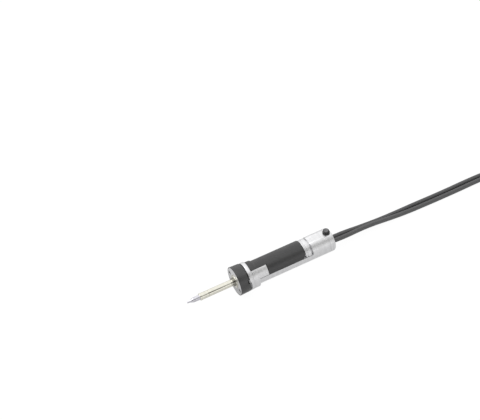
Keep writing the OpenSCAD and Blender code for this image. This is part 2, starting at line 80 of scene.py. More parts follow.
class Slot(Enum):
    """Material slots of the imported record."""

    NOZZLE = "nozzle_metal"
    GOLD = "gold_nickel"
    CERAMIC = "ceramic"
    WIRE = "resistance_wire"
    STEEL = "steel"
    ALUMINIUM = "aluminium"
    RING = "black_plastic"
    GRIP = "grip_plastic"
    INSULATOR = "insulator"
    GLASS = "collector_glass"
    SILICONE = "silicone"
    FELT = "felt"
    BRASS = "brass"
    INNER_RUBBER = "inner_rubber"
    SLEEVE = "lead_sleeve"
    BUTTON = "button_plastic"
    BEZEL = "bezel_plastic"
    BOARD = "board"
    GROMMET = "grommet_rubber"
    CABLE = "cord_jacket"
    HOSE = "hose_jacket"
    PLUG = "plug_plastic"
    FITTING = "fitting_metal"
    STRAP = "tie_strap"


@dataclass(frozen=True)
class ToolFrame:
    """Lays points of the tool's own frame into the shared frame."""

    origin: Array
    along: Array
    across: Array
    up: Array

    @classmethod
    def from_record(cls, record: dict) -> "ToolFrame":
        """Reads the tool's place from the front plate's mount and its axis from the nose's joint.

        Args:
            record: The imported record.

        Returns:
            The tool's frame.
        """
        mount_y = 0.0095
        face = next(m for m in record["mounts"] if m["name"] == "plate_face")
        press = next(j for j in record["behaviour"]["joints"] if j["name"] == "nose_press")
        along = np.array(press["axis"], float)
        along /= np.linalg.norm(along)
        across = np.array([0.0, 1.0, 0.0])
        origin = np.array(face["pos_m"], float) - mount_y * across
        return cls(origin, along, across, np.cross(along, across))

    def place(self, points: Array) -> Array:
        """Points given in tool millimetres, with x, y, z as the last axis, in shared-frame metres."""
        axes = np.stack([self.along, self.across, self.up])
        return self.origin + MM * np.asarray(points, float) @ axes

    def tilt(self) -> float:
        """Angle by which the tool's axis dips, in radians."""
        return math.atan2(-self.along[2], self.along[0])


TOOL = ToolFrame.from_record(frame["record"])


# Surfaces


@dataclass
class Surface:
    """Closed skins, in millimetres: points, four-sided faces, and end faces of many sides."""

    points: Array
    quads: Array
    ends: list[list[int]] = field(default_factory=list)

    def joined(self, *others: "Surface") -> "Surface":
        """Puts this surface and others into one.

        Args:
            *others: The other surfaces.

        Returns:
            The surface of them all.
        """
        points, quads, ends = [self.points], [self.quads], list(self.ends)
        count = len(self.points)
        for other in others:
            points.append(other.points)
            quads.append(other.quads + count)
            ends += [[i + count for i in end] for end in other.ends]
            count += len(other.points)
        return Surface(np.concatenate(points), np.concatenate(quads), ends)

    def turned(self, angle: float) -> "Surface":
        """Turns this surface about the x axis.

        Args:
            angle: Angle in degrees, from the top towards the far side.

        Returns:
            The turned surface.
        """
        a = math.radians(angle)
        turn = np.array([[1, 0, 0], [0, math.cos(a), math.sin(a)], [0, -math.sin(a), math.cos(a)]])
        return Surface(self.points @ turn.T, self.quads, self.ends)

    def moved(self, x: float = 0.0, y: float = 0.0, z: float = 0.0) -> "Surface":
        """This surface moved by a distance along each axis."""
        return Surface(self.points + np.array([x, y, z]), self.quads, self.ends)

    def mirrored(self) -> "Surface":
        """This surface mirrored along x, whose faces mesh_of points outwards again."""
        return Surface(self.points * np.array([-1, 1, 1]), self.quads, self.ends)

    def upright(self, x: float) -> "Surface":
        """This surface with its x axis turned to point up, at the station x."""
        p = self.points
        return Surface(np.stack([x - p[:, 2], p[:, 1], p[:, 0]], axis=1), self.quads, self.ends)


def skin_faces(rows: int, cols: int, wrap_rows: bool, wrap_cols: bool = True) -> Array:
    """Faces of a grid of points, numbered row by row.

    Args:
        rows: Number of rows.
        cols: Number of points in a row.
        wrap_rows: Whether the last row joins the first.
        wrap_cols: Whether the last point of a row joins its first.

    Returns:
        Four point numbers for each face.
    """
    r = np.arange(rows if wrap_rows else rows - 1)[:, None]
    c = np.arange(cols if wrap_cols else cols - 1)[None, :]
    r1, c1 = (r + 1) % rows, (c + 1) % cols
    return np.stack([r * cols + c, r * cols + c1, r1 * cols + c1, r1 * cols + c], axis=-1).reshape(-1, 4)


def loft(rings: Array) -> Surface:
    """Skin over rings of equal count, in the order given, with a flat face on each end.

    Args:
        rings: Points of shape (rings, points in a ring, 3).

    Returns:
        The closed surface.
    """
    count, n = rings.shape[:2]
    first, last = list(range(n)), list(range((count - 1) * n, count * n))
    return Surface(rings.reshape(-1, 3), skin_faces(count, n, False), [first[::-1], last])


def rounded(corners: Array, steps: int = 3) -> Array:
    """Rounds the corners of closed outlines.

    Each corner is replaced by an arc that touches both of its sides. The arc's ends lie
    radius / tan(half the corner's angle) from the corner, or 0.45 of the shorter side at most, and its
    points turn evenly about its centre.

    Args:
        corners: Corners as (x, r, radius), of shape (..., corners, 3).
        steps: Pieces in each arc.

    Returns:
        Points of shape (..., corners * (steps + 1), 2).
    """
    corners = np.asarray(corners, float)
    p, radius = corners[..., :2], corners[..., 2]
    to_prev, to_next = np.roll(p, 1, axis=-2) - p, np.roll(p, -1, axis=-2) - p
    len_prev, len_next = np.linalg.norm(to_prev, axis=-1), np.linalg.norm(to_next, axis=-1)
    tiny = 1e-9
    u = to_prev / np.maximum(len_prev, tiny)[..., None]
    v = to_next / np.maximum(len_next, tiny)[..., None]
    half = np.arccos(np.clip((u * v).sum(-1), -1, 1)) / 2
    bends = (half > 0.02) & (half < math.pi / 2 - 0.02) & (radius > 0)
    half = np.where(bends, half, math.pi / 4)
    reach = np.minimum(radius / np.tan(half), 0.45 * np.minimum(len_prev, len_next)) * bends
    middle = u + v
    middle /= np.maximum(np.linalg.norm(middle, axis=-1), tiny)[..., None]
    centre = p + middle * (reach / np.cos(half))[..., None]
    a, b = p + u * reach[..., None] - centre, p + v * reach[..., None] - centre
    sweep = math.pi - 2 * half
    s = np.linspace(0, 1, steps + 1)
    wa = np.sin((1 - s) * sweep[..., None]) / np.sin(sweep)[..., None]
    wb = np.sin(s * sweep[..., None]) / np.sin(sweep)[..., None]
    arcs = centre[..., None, :] + wa[..., None] * a[..., None, :] + wb[..., None] * b[..., None, :]
    return arcs.reshape(*corners.shape[:-2], -1, 2)


def swing(profile: Array, phi: Optional[Array] = None) -> Surface:
    """Carries a closed outline about the x axis.

    The point (x, r) at the angle phi becomes (x, r sin phi, r cos phi). Without angles it goes all the way
    round, in 96 steps.

    Args:
        profile: One outline of shape (points, 2), or one for each angle, of shape (angles, points, 2).
        phi: Angles in degrees. Where two are equal, the faces between their outlines form a flat wall.

    Returns:
        The closed surface.
    """
    around = phi is None
    angles = np.radians(np.arange(0, 360, 3.75) if around else np.asarray(phi, float))
    profile = np.broadcast_to(profile, (len(angles), *profile.shape[-2:]))
    x, r = profile[..., 0], profile[..., 1]
    rings = np.stack([x, r * np.sin(angles)[:, None], r * np.cos(angles)[:, None]], axis=-1)
    if not around:
        return loft(rings)
    return Surface(rings.reshape(-1, 3), skin_faces(len(angles), profile.shape[1], True))


def swing_whole(profile: Array, phi: Array) -> Surface:
    """Like swing with one outline for each angle, where the last angle's outline meets the first one's."""
    return Surface(swing(profile, phi).points, skin_faces(*profile.shape[:2], True))


def outlines(corners: Sequence[tuple], phi: Array, steps: int = 3) -> Array:
    """Rounded outlines whose corners may change from angle to angle.

    Args:
        corners: Corners as (x, r, rounding), where x and r are a number or one value for each angle.
        phi: The angles.
        steps: Pieces in each arc.

    Returns:
        Outlines of shape (angles, points, 2).
    """
    ones = np.ones_like(phi)
    stack = [np.stack([value * ones for value in corner], axis=-1) for corner in corners]
    return rounded(np.stack(stack, axis=1), steps)


def turned_part(corners: Sequence[tuple[float, float, float]], steps: int = 3) -> Surface:
    """Solid of revolution about the x axis from its closed outline's corners, each (x, r, rounding)."""
    return swing(rounded(np.array(corners, float), steps))


def rod(x0: float, x1: float, r: float, edge: float = 0.0) -> Surface:
    """Straight round bar with rounded edges."""
    return turned_part([(x0, 0, 0), (x0, r, edge), (x1, r, edge), (x1, 0, 0)])


def fan(*stretches: tuple[float, float]) -> Array:
    """Angles in degrees through each stretch, with both of its ends, in steps of about 3 degrees."""
    return np.concatenate([np.linspace(a, b, max(2, round(abs(b - a) / 3) + 1)) for a, b in stretches])


def stretch_of(phi: Array) -> Array:
    """Number of the stretch that each angle is in: it goes up by one wherever an angle is there twice."""
    return np.concatenate([[0], np.cumsum(np.diff(phi) == 0)])


def tube_rings(path: Array, radius: float, sides: int, reference: Array) -> Array:
    """Rings of a round tube about a path.

    At each point the tangent is the difference of its neighbours. The first axis of the ring is the
    reference direction less its part along the tangent, and the second is their cross product.

    Args:
        path: Points of shape (n, 3).
        radius: Radius of the tube.
        sides: Points in a ring.
        reference: Direction that is never along the tangent, of shape (3,) or (n, 3).

    Returns:
        Rings of shape (n, sides, 3).
    """
    tangent = np.gradient(path, axis=0)
    tangent /= np.linalg.norm(tangent, axis=1)[:, None]
    reference = np.broadcast_to(reference, path.shape)
    first = reference - (reference * tangent).sum(1)[:, None] * tangent
    first /= np.linalg.norm(first, axis=1)[:, None]
    second = np.cross(tangent, first)
    a = np.linspace(0, 2 * math.pi, sides, endpoint=False)[None, :, None]
    return path[:, None] + radius * (np.cos(a) * first[:, None] + np.sin(a) * second[:, None])


def coil_spring(x0: float, x1: float, r: float, wire_r: float, turns: int) -> Surface:
    """Compression spring along x: a helix that is wound closer towards its ends, with a hair's gap at each.

    The angle grows evenly with t from 0 to 1, and the station with t - 0.6 sin(2 pi t) / (2 pi).

    Args:
        x0: Station that its first end sits on.
        x1: Station that its other end sits on.
        r: Radius of the wire's middle line.
        wire_r: Radius of the wire.
        turns: Number of turns.

    Returns:
        The closed surface.
    """
    x0, x1 = x0 + SPRING_GAP, x1 - SPRING_GAP
    t = np.linspace(0, 1, turns * 24 + 1)
    angle = 2 * math.pi * turns * t
    ease = 0.6
    station = t - ease * np.sin(2 * math.pi * t) / (2 * math.pi)
    out = np.stack([np.zeros_like(t), np.sin(angle), np.cos(angle)], axis=1)
    path = r * out
    path[:, 0] = x0 + wire_r + (x1 - x0 - 2 * wire_r) * station
    return loft(tube_rings(path, wire_r, 10, out))


def spline(points: Array, spacing: float) -> Array:
    """Smooth curve through points: natural cubic pieces over the chord length.

    The second derivatives at the points solve the usual three-band system, with zero at both ends.

    Args:
        points: Points of shape (n, 3), each apart from the next.
        spacing: Distance between the points put out.

    Returns:
        Points along the curve, of shape (m, 3).
    """
    h = np.linalg.norm(np.diff(points, axis=0), axis=1)
    s = np.concatenate([[0], np.cumsum(h)])
    n = len(points)
    system = np.eye(n)
    k = np.arange(1, n - 1)
    system[k, k - 1], system[k, k], system[k, k + 1] = h[:-1], 2 * (h[:-1] + h[1:]), h[1:]
    slope = np.diff(points, axis=0) / h[:, None]
    right = np.zeros_like(points)
    right[1:-1] = 6 * np.diff(slope, axis=0)
    second = np.linalg.solve(system, right)
    q = np.linspace(0, s[-1], int(s[-1] / spacing) + 1)
    i = np.clip(np.searchsorted(s, q, side="right") - 1, 0, n - 2)
    a, b = ((s[i + 1] - q) / h[i])[:, None], ((q - s[i]) / h[i])[:, None]
    bend = ((a**3 - a) * second[i] + (b**3 - b) * second[i + 1]) * (h[i] ** 2)[:, None] / 6
    return a * points[i] + b * points[i + 1] + bend


# Shader nodes


class Shader:
    """Node tree that is filled by calls, with sockets given by name or number."""

    def __init__(self, tree: bpy.types.NodeTree) -> None:
        """Starts on an empty tree."""
        self.tree = tree
        tree.nodes.clear()

    def add(self, kind: str, settings: Optional[dict] = None, **inputs: object) -> bpy.types.Node:
        """Adds a node.

        Args:
            kind: The node's type.
            settings: Its properties.
            **inputs: Values or sockets for its inputs; an underscore stands for a space, and n3 for input 3.

        Returns:
            The node.
        """
        node = self.tree.nodes.new(kind)
        for name, value in (settings or {}).items():
            setattr(node, name, value)
        for name, value in inputs.items():
            key = int(name[1:]) if name[0] == "n" and name[1:].isdigit() else name.replace("_", " ")
            socket = node.inputs[key]
            if isinstance(value, bpy.types.NodeSocket):
                self.tree.links.new(value, socket)
            else:
                socket.default_value = value
        return node

    def math(self, operation: str, a: object, b: object = 0.0) -> Socket:
        """Result of a Math node on two values or sockets."""
        return self.add("ShaderNodeMath", {"operation": operation}, n0=a, n1=b).outputs[0]

    def ramp(self, value: Socket, low: float, high: float, a: float, b: float) -> Socket:
        """Value carried from the stretch low to high onto the stretch a to b, and held at its ends."""
        ends = {"From_Min": low, "From_Max": high, "To_Min": a, "To_Max": b}
        return self.add("ShaderNodeMapRange", None, Value=value, **ends).outputs[0]

    def noise(self, vector: Socket, scale: object, **inputs: float) -> Socket:
        """Result of a Noise Texture node."""
        return self.add("ShaderNodeTexNoise", None, Vector=vector, Scale=scale, **inputs).outputs[0]

    def noise_along(self, place: Socket, detail: float) -> Socket:
        """Result of a Noise Texture node that changes along one direction alone."""
        settings = {"noise_dimensions": "1D"}
        return self.add("ShaderNodeTexNoise", settings, W=place, Scale=1.0, Detail=detail).outputs[0]

    def attribute(self, name: str) -> Socket:
        """Value of the piece's own attribute, 0 where it has none."""
        return self.add("ShaderNodeAttribute", {"attribute_name": name}).outputs["Fac"]

    def put_out(self, node: bpy.types.Node, *values: Socket) -> None:
        """Links values to a group's output node, in order."""
        for value, socket in zip(values, node.inputs):
            self.tree.links.new(value, socket)

    def mix(self, fac: object, a: object, b: object) -> Socket:
        """Colour between a and b."""
        return self.add("ShaderNodeMix", {"data_type": "RGBA"}, n0=fac, n6=a, n7=b).outputs[2]


def shade(colour: Colour, factor: float) -> tuple[float, float, float, float]:
    """Colour with its brightness multiplied, with alpha 1."""
    return (*(min(1.0, c * factor) for c in colour), 1.0)


def new_material(name: str) -> tuple[bpy.types.Material, Shader]:
    """Makes a material with an empty node tree.

    Args:
        name: Its name.

    Returns:
        The material, and the shader on its tree.
    """
    material = bpy.data.materials.new(name)
    material.use_nodes = True
    return material, Shader(material.node_tree)


class Effects:
    """Node groups that more than one finish uses."""

    def __init__(self) -> None:
        """Builds each group once."""
        self.grain = self._grain()
        self.turning = self._turning()
        self.handling = self._handling()
        self.weave = self._weave()

    @staticmethod
    def _group(
        name: str, scale: tuple[str, float], outputs: tuple[str, str]
    ) -> tuple[Shader, Socket, Socket, bpy.types.Node]:
        """Starts a group with a vector and a scale as inputs and two numbers as outputs.

        Args:
            name: The group's name.
            scale: Name and default of the scale input.
            outputs: Names of the outputs.

        Returns:
            The shader on the group's tree, its two inputs and its output node.
        """
        tree = bpy.data.node_groups.new(name, "ShaderNodeTree")
        tree.interface.new_socket(name="Vector", in_out="INPUT", socket_type="NodeSocketVector")
        scale_input = tree.interface.new_socket(name=scale[0], in_out="INPUT", socket_type="NodeSocketFloat")
        scale_input.default_value = scale[1]
        shader = Shader(tree)
        for key in outputs:
            tree.interface.new_socket(name=key, in_out="OUTPUT", socket_type="NodeSocketFloat")
        inputs = shader.add("NodeGroupInput").outputs
        return shader, inputs[0], inputs[1], shader.add("NodeGroupOutput")

    def _grain(self) -> bpy.types.NodeTree:
        """Fine moulded grain: two noises of different size, as a height and a mask.

        Returns:
            The group's tree.
        """
        s, vector, scale, out = self._group("fine_grain", ("Scale", 2000.0), ("Height", "Mask"))
        fine = s.noise(vector, scale, Detail=3.0, Roughness=0.6)
        wide = s.noise(vector, s.math("MULTIPLY", scale, 0.07), Detail=2.0)
        s.put_out(out, s.ramp(fine, 0.3, 0.7, 0, 1), s.ramp(wide, 0.35, 0.65, 0, 1))
        return s.tree

    def _turning(self) -> bpy.types.NodeTree:
        """Marks of turning: noise that changes along the tool's axis alone, at a fine and a wide pitch.

        Returns:
            The group's tree.
        """
        s, vector, scale, out = self._group("turning_marks", ("Scale", 4000.0), ("Height", "Mask"))
        x = s.add("ShaderNodeSeparateXYZ", None, Vector=vector).outputs[0]
        place = s.math("MULTIPLY", x, scale)
        fine = s.noise_along(place, 2.0)
        wide = s.noise_along(s.math("MULTIPLY", place, 0.06), 1.0)
        s.put_out(out, s.ramp(fine, 0.3, 0.7, 0, 1), s.ramp(wide, 0.35, 0.65, 0, 1))
        return s.tree

    def _handling(self) -> bpy.types.NodeTree:
        """Traces of use: broad smudges, and thin scratches from stretched noise cut near its middle.

        Returns:
            The group's tree.
        """
        s, vector, scale, out = self._group("handling_traces", ("Scale", 90.0), ("Smudge", "Scratch"))
        smudge = s.noise(vector, scale, Detail=4.0, Distortion=0.4)
        stretch = {"Rotation": (0.3, 0.2, 0.5), "Scale": (0.12, 1.0, 1.0)}
        stretched = s.add("ShaderNodeMapping", None, Vector=vector, **stretch).outputs[0]
        lines = s.noise(stretched, s.math("MULTIPLY", scale, 14.0), Detail=1.0)
        distance = s.math("ABSOLUTE", s.math("SUBTRACT", lines, 0.5))
        thin = s.ramp(distance, 0.0, 0.012, 1, 0)
        patch = s.ramp(smudge, 0.5, 0.62, 0, 1)
        s.put_out(out, s.ramp(smudge, 0.35, 0.68, 0, 1), s.math("MULTIPLY", thin, patch))
        return s.tree

    def _weave(self) -> bpy.types.NodeTree:
        """Plain weave on a UV map: two crossed rows of round threads, the higher of which is on top.

        Returns:
            The group's tree.
        """
        s, vector, threads, out = self._group("plain_weave", ("Threads", 1200.0), ("Height", "Mask"))
        split = s.add("ShaderNodeSeparateXYZ", None, Vector=vector)
        rows = []
        for axis in range(2):
            turn = s.math("MULTIPLY", s.math("MULTIPLY", split.outputs[axis], threads), math.pi)
            rows.append(s.math("ABSOLUTE", s.math("SINE", turn)))
        s.put_out(out, s.math("MAXIMUM", rows[0], rows[1]), s.math("MULTIPLY", rows[0], rows[1]))
        return s.tree


EFFECTS = Effects()
SCRATCH_SHARE, SCRATCH_SHADE = 0.35, 1.5
WORN_SMOOTH, WORN_ROUGH = 0.88, 1.14
BUMP_STRENGTH = 0.35
# Painted shade: how dark a metal's tone goes where its piece's "recess" attribute asks for shade.
PAINTED_SHADE_FACTOR = 0.04
# Painted highlight on the button's top: how much lighter its grey patches are, and their size.
PAINTED_HIGHLIGHT_FACTOR, HIGHLIGHT_PATCH_SCALE = 7.0, 700.0


@dataclass(frozen=True)
class Finish:
    """Common ground of the finishes: colour and roughness that vary with use, and a relief.

    spread is how far the brightness goes to either side of the colour, and relief is the depth of the marks
    in millimetres.
    """

    slot: Slot
    colour: Colour
    roughness: float
    spread: float = 0.06
    relief: float = 0.02

    def constants(self) -> dict[str, float]:
        """Values of the shader that are the same all over the surface."""
        return {}

    def relief_group(self) -> tuple[bpy.types.NodeTree, float]:
        """Node group that gives the relief, and its scale."""
        return EFFECTS.grain, 2200.0

    def painted_light(self, s: Shader, tone: Socket) -> Socket:
        """The tone as it is."""
        return tone

    def coordinates(self, s: Shader) -> Socket:
        """Object coordinates, turned and moved so that they run along the tool's axis.

        Args:
            s: The material's shader.

        Returns:
            The coordinates.
        """
        object_space = s.add("ShaderNodeTexCoord").outputs["Object"]
        mapping = s.add(
            "ShaderNodeMapping", {"vector_type": "TEXTURE"}, Vector=object_space,
            Location=tuple(TOOL.origin), Rotation=(0.0, TOOL.tilt(), 0.0),
        )
        return mapping.outputs[0]

    def build(self) -> bpy.types.Material:
        """Makes the material.

        Returns:
            The material, named after its slot.
        """
        material, s = new_material(self.slot.value)
        vector = self.coordinates(s)
        tree, scale = self.relief_group()
        relief = s.add("ShaderNodeGroup", {"node_tree": tree}, n0=vector, n1=scale)
        traces = s.add("ShaderNodeGroup", {"node_tree": EFFECTS.handling}, n0=vector)
        dim, bright = shade(self.colour, 1 - self.spread), shade(self.colour, 1 + self.spread)
        tone = s.mix(relief.outputs[1], dim, bright)
        scratch = s.math("MULTIPLY", traces.outputs[1], SCRATCH_SHARE)
        tone = s.mix(scratch, tone, shade(self.colour, SCRATCH_SHADE))
        tone = self.painted_light(s, tone)
        smooth, rough = self.roughness * WORN_SMOOTH, min(1.0, self.roughness * WORN_ROUGH)
        worn = s.ramp(traces.outputs[0], 0, 1, smooth, rough)
        depth = {"Strength": BUMP_STRENGTH, "Distance": self.relief * MM}
        bump = s.add("ShaderNodeBump", None, Height=relief.outputs[0], **depth)
        shader = s.add(
            "ShaderNodeBsdfPrincipled", None, Base_Color=tone, Roughness=worn, Normal=bump.outputs[0],
            **self.constants(),
        )
        s.add("ShaderNodeOutputMaterial", None, Surface=shader.outputs[0])
        return material


@dataclass(frozen=True)
class Metal(Finish):
    """Turned metal, with fine marks that run round the tool's axis."""

    scale: float = 5000.0

    def constants(self) -> dict[str, float]:
        """Fully metallic."""
        return {"Metallic": 1.0}

    def painted_light(self, s: Shader, tone: Socket) -> Socket:
        """Painted shade: the tone, darkened where the piece's own attribute asks for shade."""
        return s.mix(s.attribute("recess"), tone, shade(self.colour, PAINTED_SHADE_FACTOR))

    def relief_group(self) -> tuple[bpy.types.NodeTree, float]:
        """Marks of turning."""
        return EFFECTS.turning, self.scale


@dataclass(frozen=True)
class Moulded(Finish):
    """Moulded plastic or ceramic, with a fine grain and a thin sheen."""

    grain: float = 2600.0
    coat: float = 0.0
    specular: float = 0.5

    def painted_light(self, s: Shader, tone: Socket) -> Socket:
        """Painted highlight: greys the tone in patches, where the piece's own attribute asks for it.

        Args:
            s: The material's shader.
            tone: The tone.

        Returns:
            The greyed tone.
        """
        highlight_patches = s.ramp(s.noise(self.coordinates(s), HIGHLIGHT_PATCH_SCALE, Detail=2.0), 0.3, 0.7, 0.5, 1)
        return s.mix(s.math("MULTIPLY", s.attribute("painted_highlight"), highlight_patches), tone, shade(self.colour, PAINTED_HIGHLIGHT_FACTOR))

    def constants(self) -> dict[str, float]:
        """Specular level and clear coat."""
        return {"Specular_IOR_Level": self.specular, "Coat_Weight": self.coat, "Coat_Roughness": 0.25}

    def relief_group(self) -> tuple[bpy.types.NodeTree, float]:
        """Moulded grain."""
        return EFFECTS.grain, self.grain


@dataclass(frozen=True)
class Cloth(Finish):
    """Woven or pressed fibre, with sheen."""

    threads: float = 900.0

    def constants(self) -> dict[str, float]:
        """Sheen of the fibres."""
        return {"Sheen_Weight": 0.3, "Sheen_Roughness": 0.5}

    def coordinates(self, s: Shader) -> Socket:
        """The piece's own UV map, in metres."""
        return s.add("ShaderNodeUVMap", {"uv_map": "UVMap"}).outputs[0]

    def relief_group(self) -> tuple[bpy.types.NodeTree, float]:
        """Plain weave."""
        return EFFECTS.weave, self.threads


@dataclass(frozen=True)
class Jacket(Moulded):
    """Flexible cord jacket, whose grain follows its own UV map."""

    def coordinates(self, s: Shader) -> Socket:
        """The cord's own UV map, in metres round it and along it."""
        return s.add("ShaderNodeUVMap", {"uv_map": "UVMap"}).outputs[0]


@dataclass(frozen=True)
class ClearGlass(Finish):
    """Clear glass tube, with a faint haze of dust that makes it less smooth."""

    def build(self) -> bpy.types.Material:
        """Makes the material, with a plain transmission.

        Returns:
            The material, named after its slot.
        """
        material, s = new_material(self.slot.value)
        traces = s.add("ShaderNodeGroup", {"node_tree": EFFECTS.handling}, n0=self.coordinates(s))
        rough = s.ramp(traces.outputs[0], 0, 1, self.roughness * 0.5, self.roughness * 1.5)
        tint = s.mix(traces.outputs[0], shade(self.colour, 1.0), shade(self.colour, 0.97))
        clear = {"Transmission_Weight": 1.0, "IOR": 1.47}
        shader = s.add("ShaderNodeBsdfPrincipled", None, Base_Color=tint, Roughness=rough, **clear)
        s.add("ShaderNodeOutputMaterial", None, Surface=shader.outputs[0])
        return material


FINISHES: tuple[Finish, ...] = (
    Metal(Slot.NOZZLE, (0.76, 0.75, 0.80), 0.36),
    Metal(Slot.GOLD, (0.88, 0.86, 0.76), 0.13, spread=0.04, relief=0.003),
    Moulded(Slot.CERAMIC, (0.88, 0.87, 0.83), 0.6),
    Metal(Slot.WIRE, (0.42, 0.33, 0.27), 0.5),
    Metal(Slot.STEEL, (0.72, 0.72, 0.72), 0.25),
    Metal(Slot.ALUMINIUM, (0.86, 0.86, 0.87), 0.42, spread=0.03, relief=0.006),
    Moulded(Slot.RING, (0.040, 0.040, 0.040), 0.38, specular=0.9),
    Moulded(Slot.GRIP, (0.032, 0.032, 0.033), 0.40, grain=3200.0, specular=0.8),
    Moulded(Slot.INSULATOR, (0.70, 0.60, 0.44), 0.6),
    ClearGlass(Slot.GLASS, (0.95, 0.98, 0.97), 0.04),
    Moulded(Slot.SILICONE, (0.62, 0.20, 0.09), 0.5),
    Moulded(Slot.FELT, (0.88, 0.87, 0.83), 0.95, relief=0.12, grain=1400.0),
    Metal(Slot.BRASS, (0.78, 0.60, 0.32), 0.24),
    Moulded(Slot.INNER_RUBBER, (0.04, 0.04, 0.04), 0.55),
    Moulded(Slot.SLEEVE, (0.48, 0.07, 0.05), 0.5),
    Moulded(Slot.BUTTON, (0.035, 0.035, 0.036), 0.4, coat=0.1),
    Moulded(Slot.BEZEL, (0.022, 0.022, 0.022), 0.4),
    Moulded(Slot.BOARD, (0.03, 0.16, 0.07), 0.4, coat=0.4),
    Moulded(Slot.GROMMET, (0.035, 0.035, 0.035), 0.55),
    Jacket(Slot.CABLE, (0.085, 0.085, 0.087), 0.38, grain=1500.0, specular=0.8),
    Jacket(Slot.HOSE, (0.070, 0.070, 0.072), 0.35, grain=1500.0, specular=0.8),
    Moulded(Slot.PLUG, (0.04, 0.04, 0.043), 0.4),
    Metal(Slot.FITTING, (0.74, 0.74, 0.73), 0.18),
    Cloth(Slot.STRAP, (0.035, 0.035, 0.036), 0.8, relief=0.15),
)


class Workshop:
    """Makes pieces from surfaces and hands them to the frame."""

    def __init__(self) -> None:
        """Builds every finish."""
        self.materials = {finish.slot: finish.build() for finish in FINISHES}

    @staticmethod
    def mesh_of(name: str, surface: Surface, place: Callable[[Array], Array]) -> bpy.types.Mesh:
        """Makes a clean mesh: points that coincide are merged and faces point outwards.

        Args:
            name: The mesh's name.
            surface: The surface, in millimetres.
            place: What lays its points into the shared frame.

        Returns:
            The mesh, in metres.
        """
        mesh = bpy.data.meshes.new(name)
        faces = surface.quads.tolist() + surface.ends
        mesh.from_pydata(place(surface.points).tolist(), [], faces)
        bm = bmesh.new()
        bm.from_mesh(mesh)
        bmesh.ops.remove_doubles(bm, verts=bm.verts, dist=2e-6)
        bmesh.ops.dissolve_degenerate(bm, edges=bm.edges, dist=1e-6)
        loose = [edge for edge in bm.edges if not edge.link_faces]
        bmesh.ops.delete(bm, geom=loose, context="EDGES")
        bmesh.ops.recalc_face_normals(bm, faces=bm.faces)
        bm.to_mesh(mesh)
        bm.free()
        return mesh

    @staticmethod
    def smooth(mesh: bpy.types.Mesh, angle: float = 32.0) -> None:
        """Shades a mesh smooth, with sharp edges past an angle in degrees."""
        mesh.shade_smooth()
        mesh.set_sharp_from_angle(angle=math.radians(angle))

    def finish_piece(
        self, name: str, mesh: bpy.types.Mesh, body: Body, slot: Slot, nodes: Sequence[str]
    ) -> bpy.types.Object:
        """Links a mesh as a piece, dresses it and gives it to its body.

        Args:
            name: The piece's name.
            mesh: Its mesh, in the shared frame.
            body: The body that it rides on.
            slot: Its material slot.
            nodes: CAD nodes that it stands for.

        Returns:
            The piece.
        """
        piece = bpy.data.objects.new(name, mesh)
        bpy.context.scene.collection.objects.link(piece)
        mesh.materials.append(self.materials[slot])
        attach(piece, body.value)
        if nodes:
            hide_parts(*nodes)
        LOG.info("%s: %d faces, rides on %s", name, len(mesh.polygons), body.value)
        return piece

    def spring(
        self, node: str, surface: Surface, joint: str, axis: Array, anchor: Sequence[float], keep: float
    ) -> None:
        """Makes a spring on the chassis.

        Args:
            node: The CAD node.
            surface: The spring.
            joint: The joint. Not used.
            axis: Not used.
            anchor: Point of its end that stays, in the tool's frame.
            keep: Not used.
        """
        piece = self.make(node, surface, Body.CHASSIS, Slot.STEEL)
        tuple(TOOL.place(anchor))
        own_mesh(piece)

    def make(
        self, node: str, surface: Surface, body: Body, slot: Slot, cuts: Sequence[Surface] = (),
        place: Callable[[Array], Array] = TOOL.place, extra: bool = False,
    ) -> bpy.types.Object:
        """Makes the piece that stands for one CAD node.

        Args:
            node: The CAD node, or the piece's own name where it is extra.
            surface: The piece's surface.
            body: The body that it rides on.
            slot: Its material slot.
            cuts: Solids that are taken away from it.
            place: What lays its points into the shared frame.
            extra: Whether it is a part of a node that another piece stands for.

        Returns:
            The piece.
        """
        mesh = self.mesh_of(node + "_form", surface, place)
        if cuts:
            mesh = self.carved(mesh, [self.mesh_of("cutter", cut, place) for cut in cuts])
        self.smooth(mesh)
        return self.finish_piece(node + "_form", mesh, body, slot, [] if extra else [node])

    @staticmethod
    def carved(mesh: bpy.types.Mesh, cutters: Sequence[bpy.types.Mesh]) -> bpy.types.Mesh:
        """The mesh less the cutters, by exact difference.

        Args:
            mesh: Closed mesh.
            cutters: Closed meshes that are taken away.

        Returns:
            A new mesh.
        """
        base = bpy.data.objects.new("carving", mesh)
        bpy.context.scene.collection.objects.link(base)
        tools = []
        for cutter in cutters:
            tool = bpy.data.objects.new("carving_tool", cutter)
            bpy.context.scene.collection.objects.link(tool)
            modifier = base.modifiers.new("cut", "BOOLEAN")
            modifier.operation, modifier.solver, modifier.object = "DIFFERENCE", "EXACT", tool
            tools.append(tool)
        graph = bpy.context.evaluated_depsgraph_get()
        result = bpy.data.meshes.new_from_object(base.evaluated_get(graph))
        result.name = mesh.name
        for thing in [base, *tools]:
            bpy.data.objects.remove(thing)
        return result

    def dress_node(self, node: str, slot: Slot) -> None:
        """Gives a CAD node that stays its finish.

        Args:
            node: The node.
            slot: Its material slot.
        """
        piece = frame["nodes"][node]
        piece.data.materials.clear()
        piece.data.materials.append(self.materials[slot])
        LOG.info("%s: kept, with %s", node, slot.value)


# Sub-assemblies


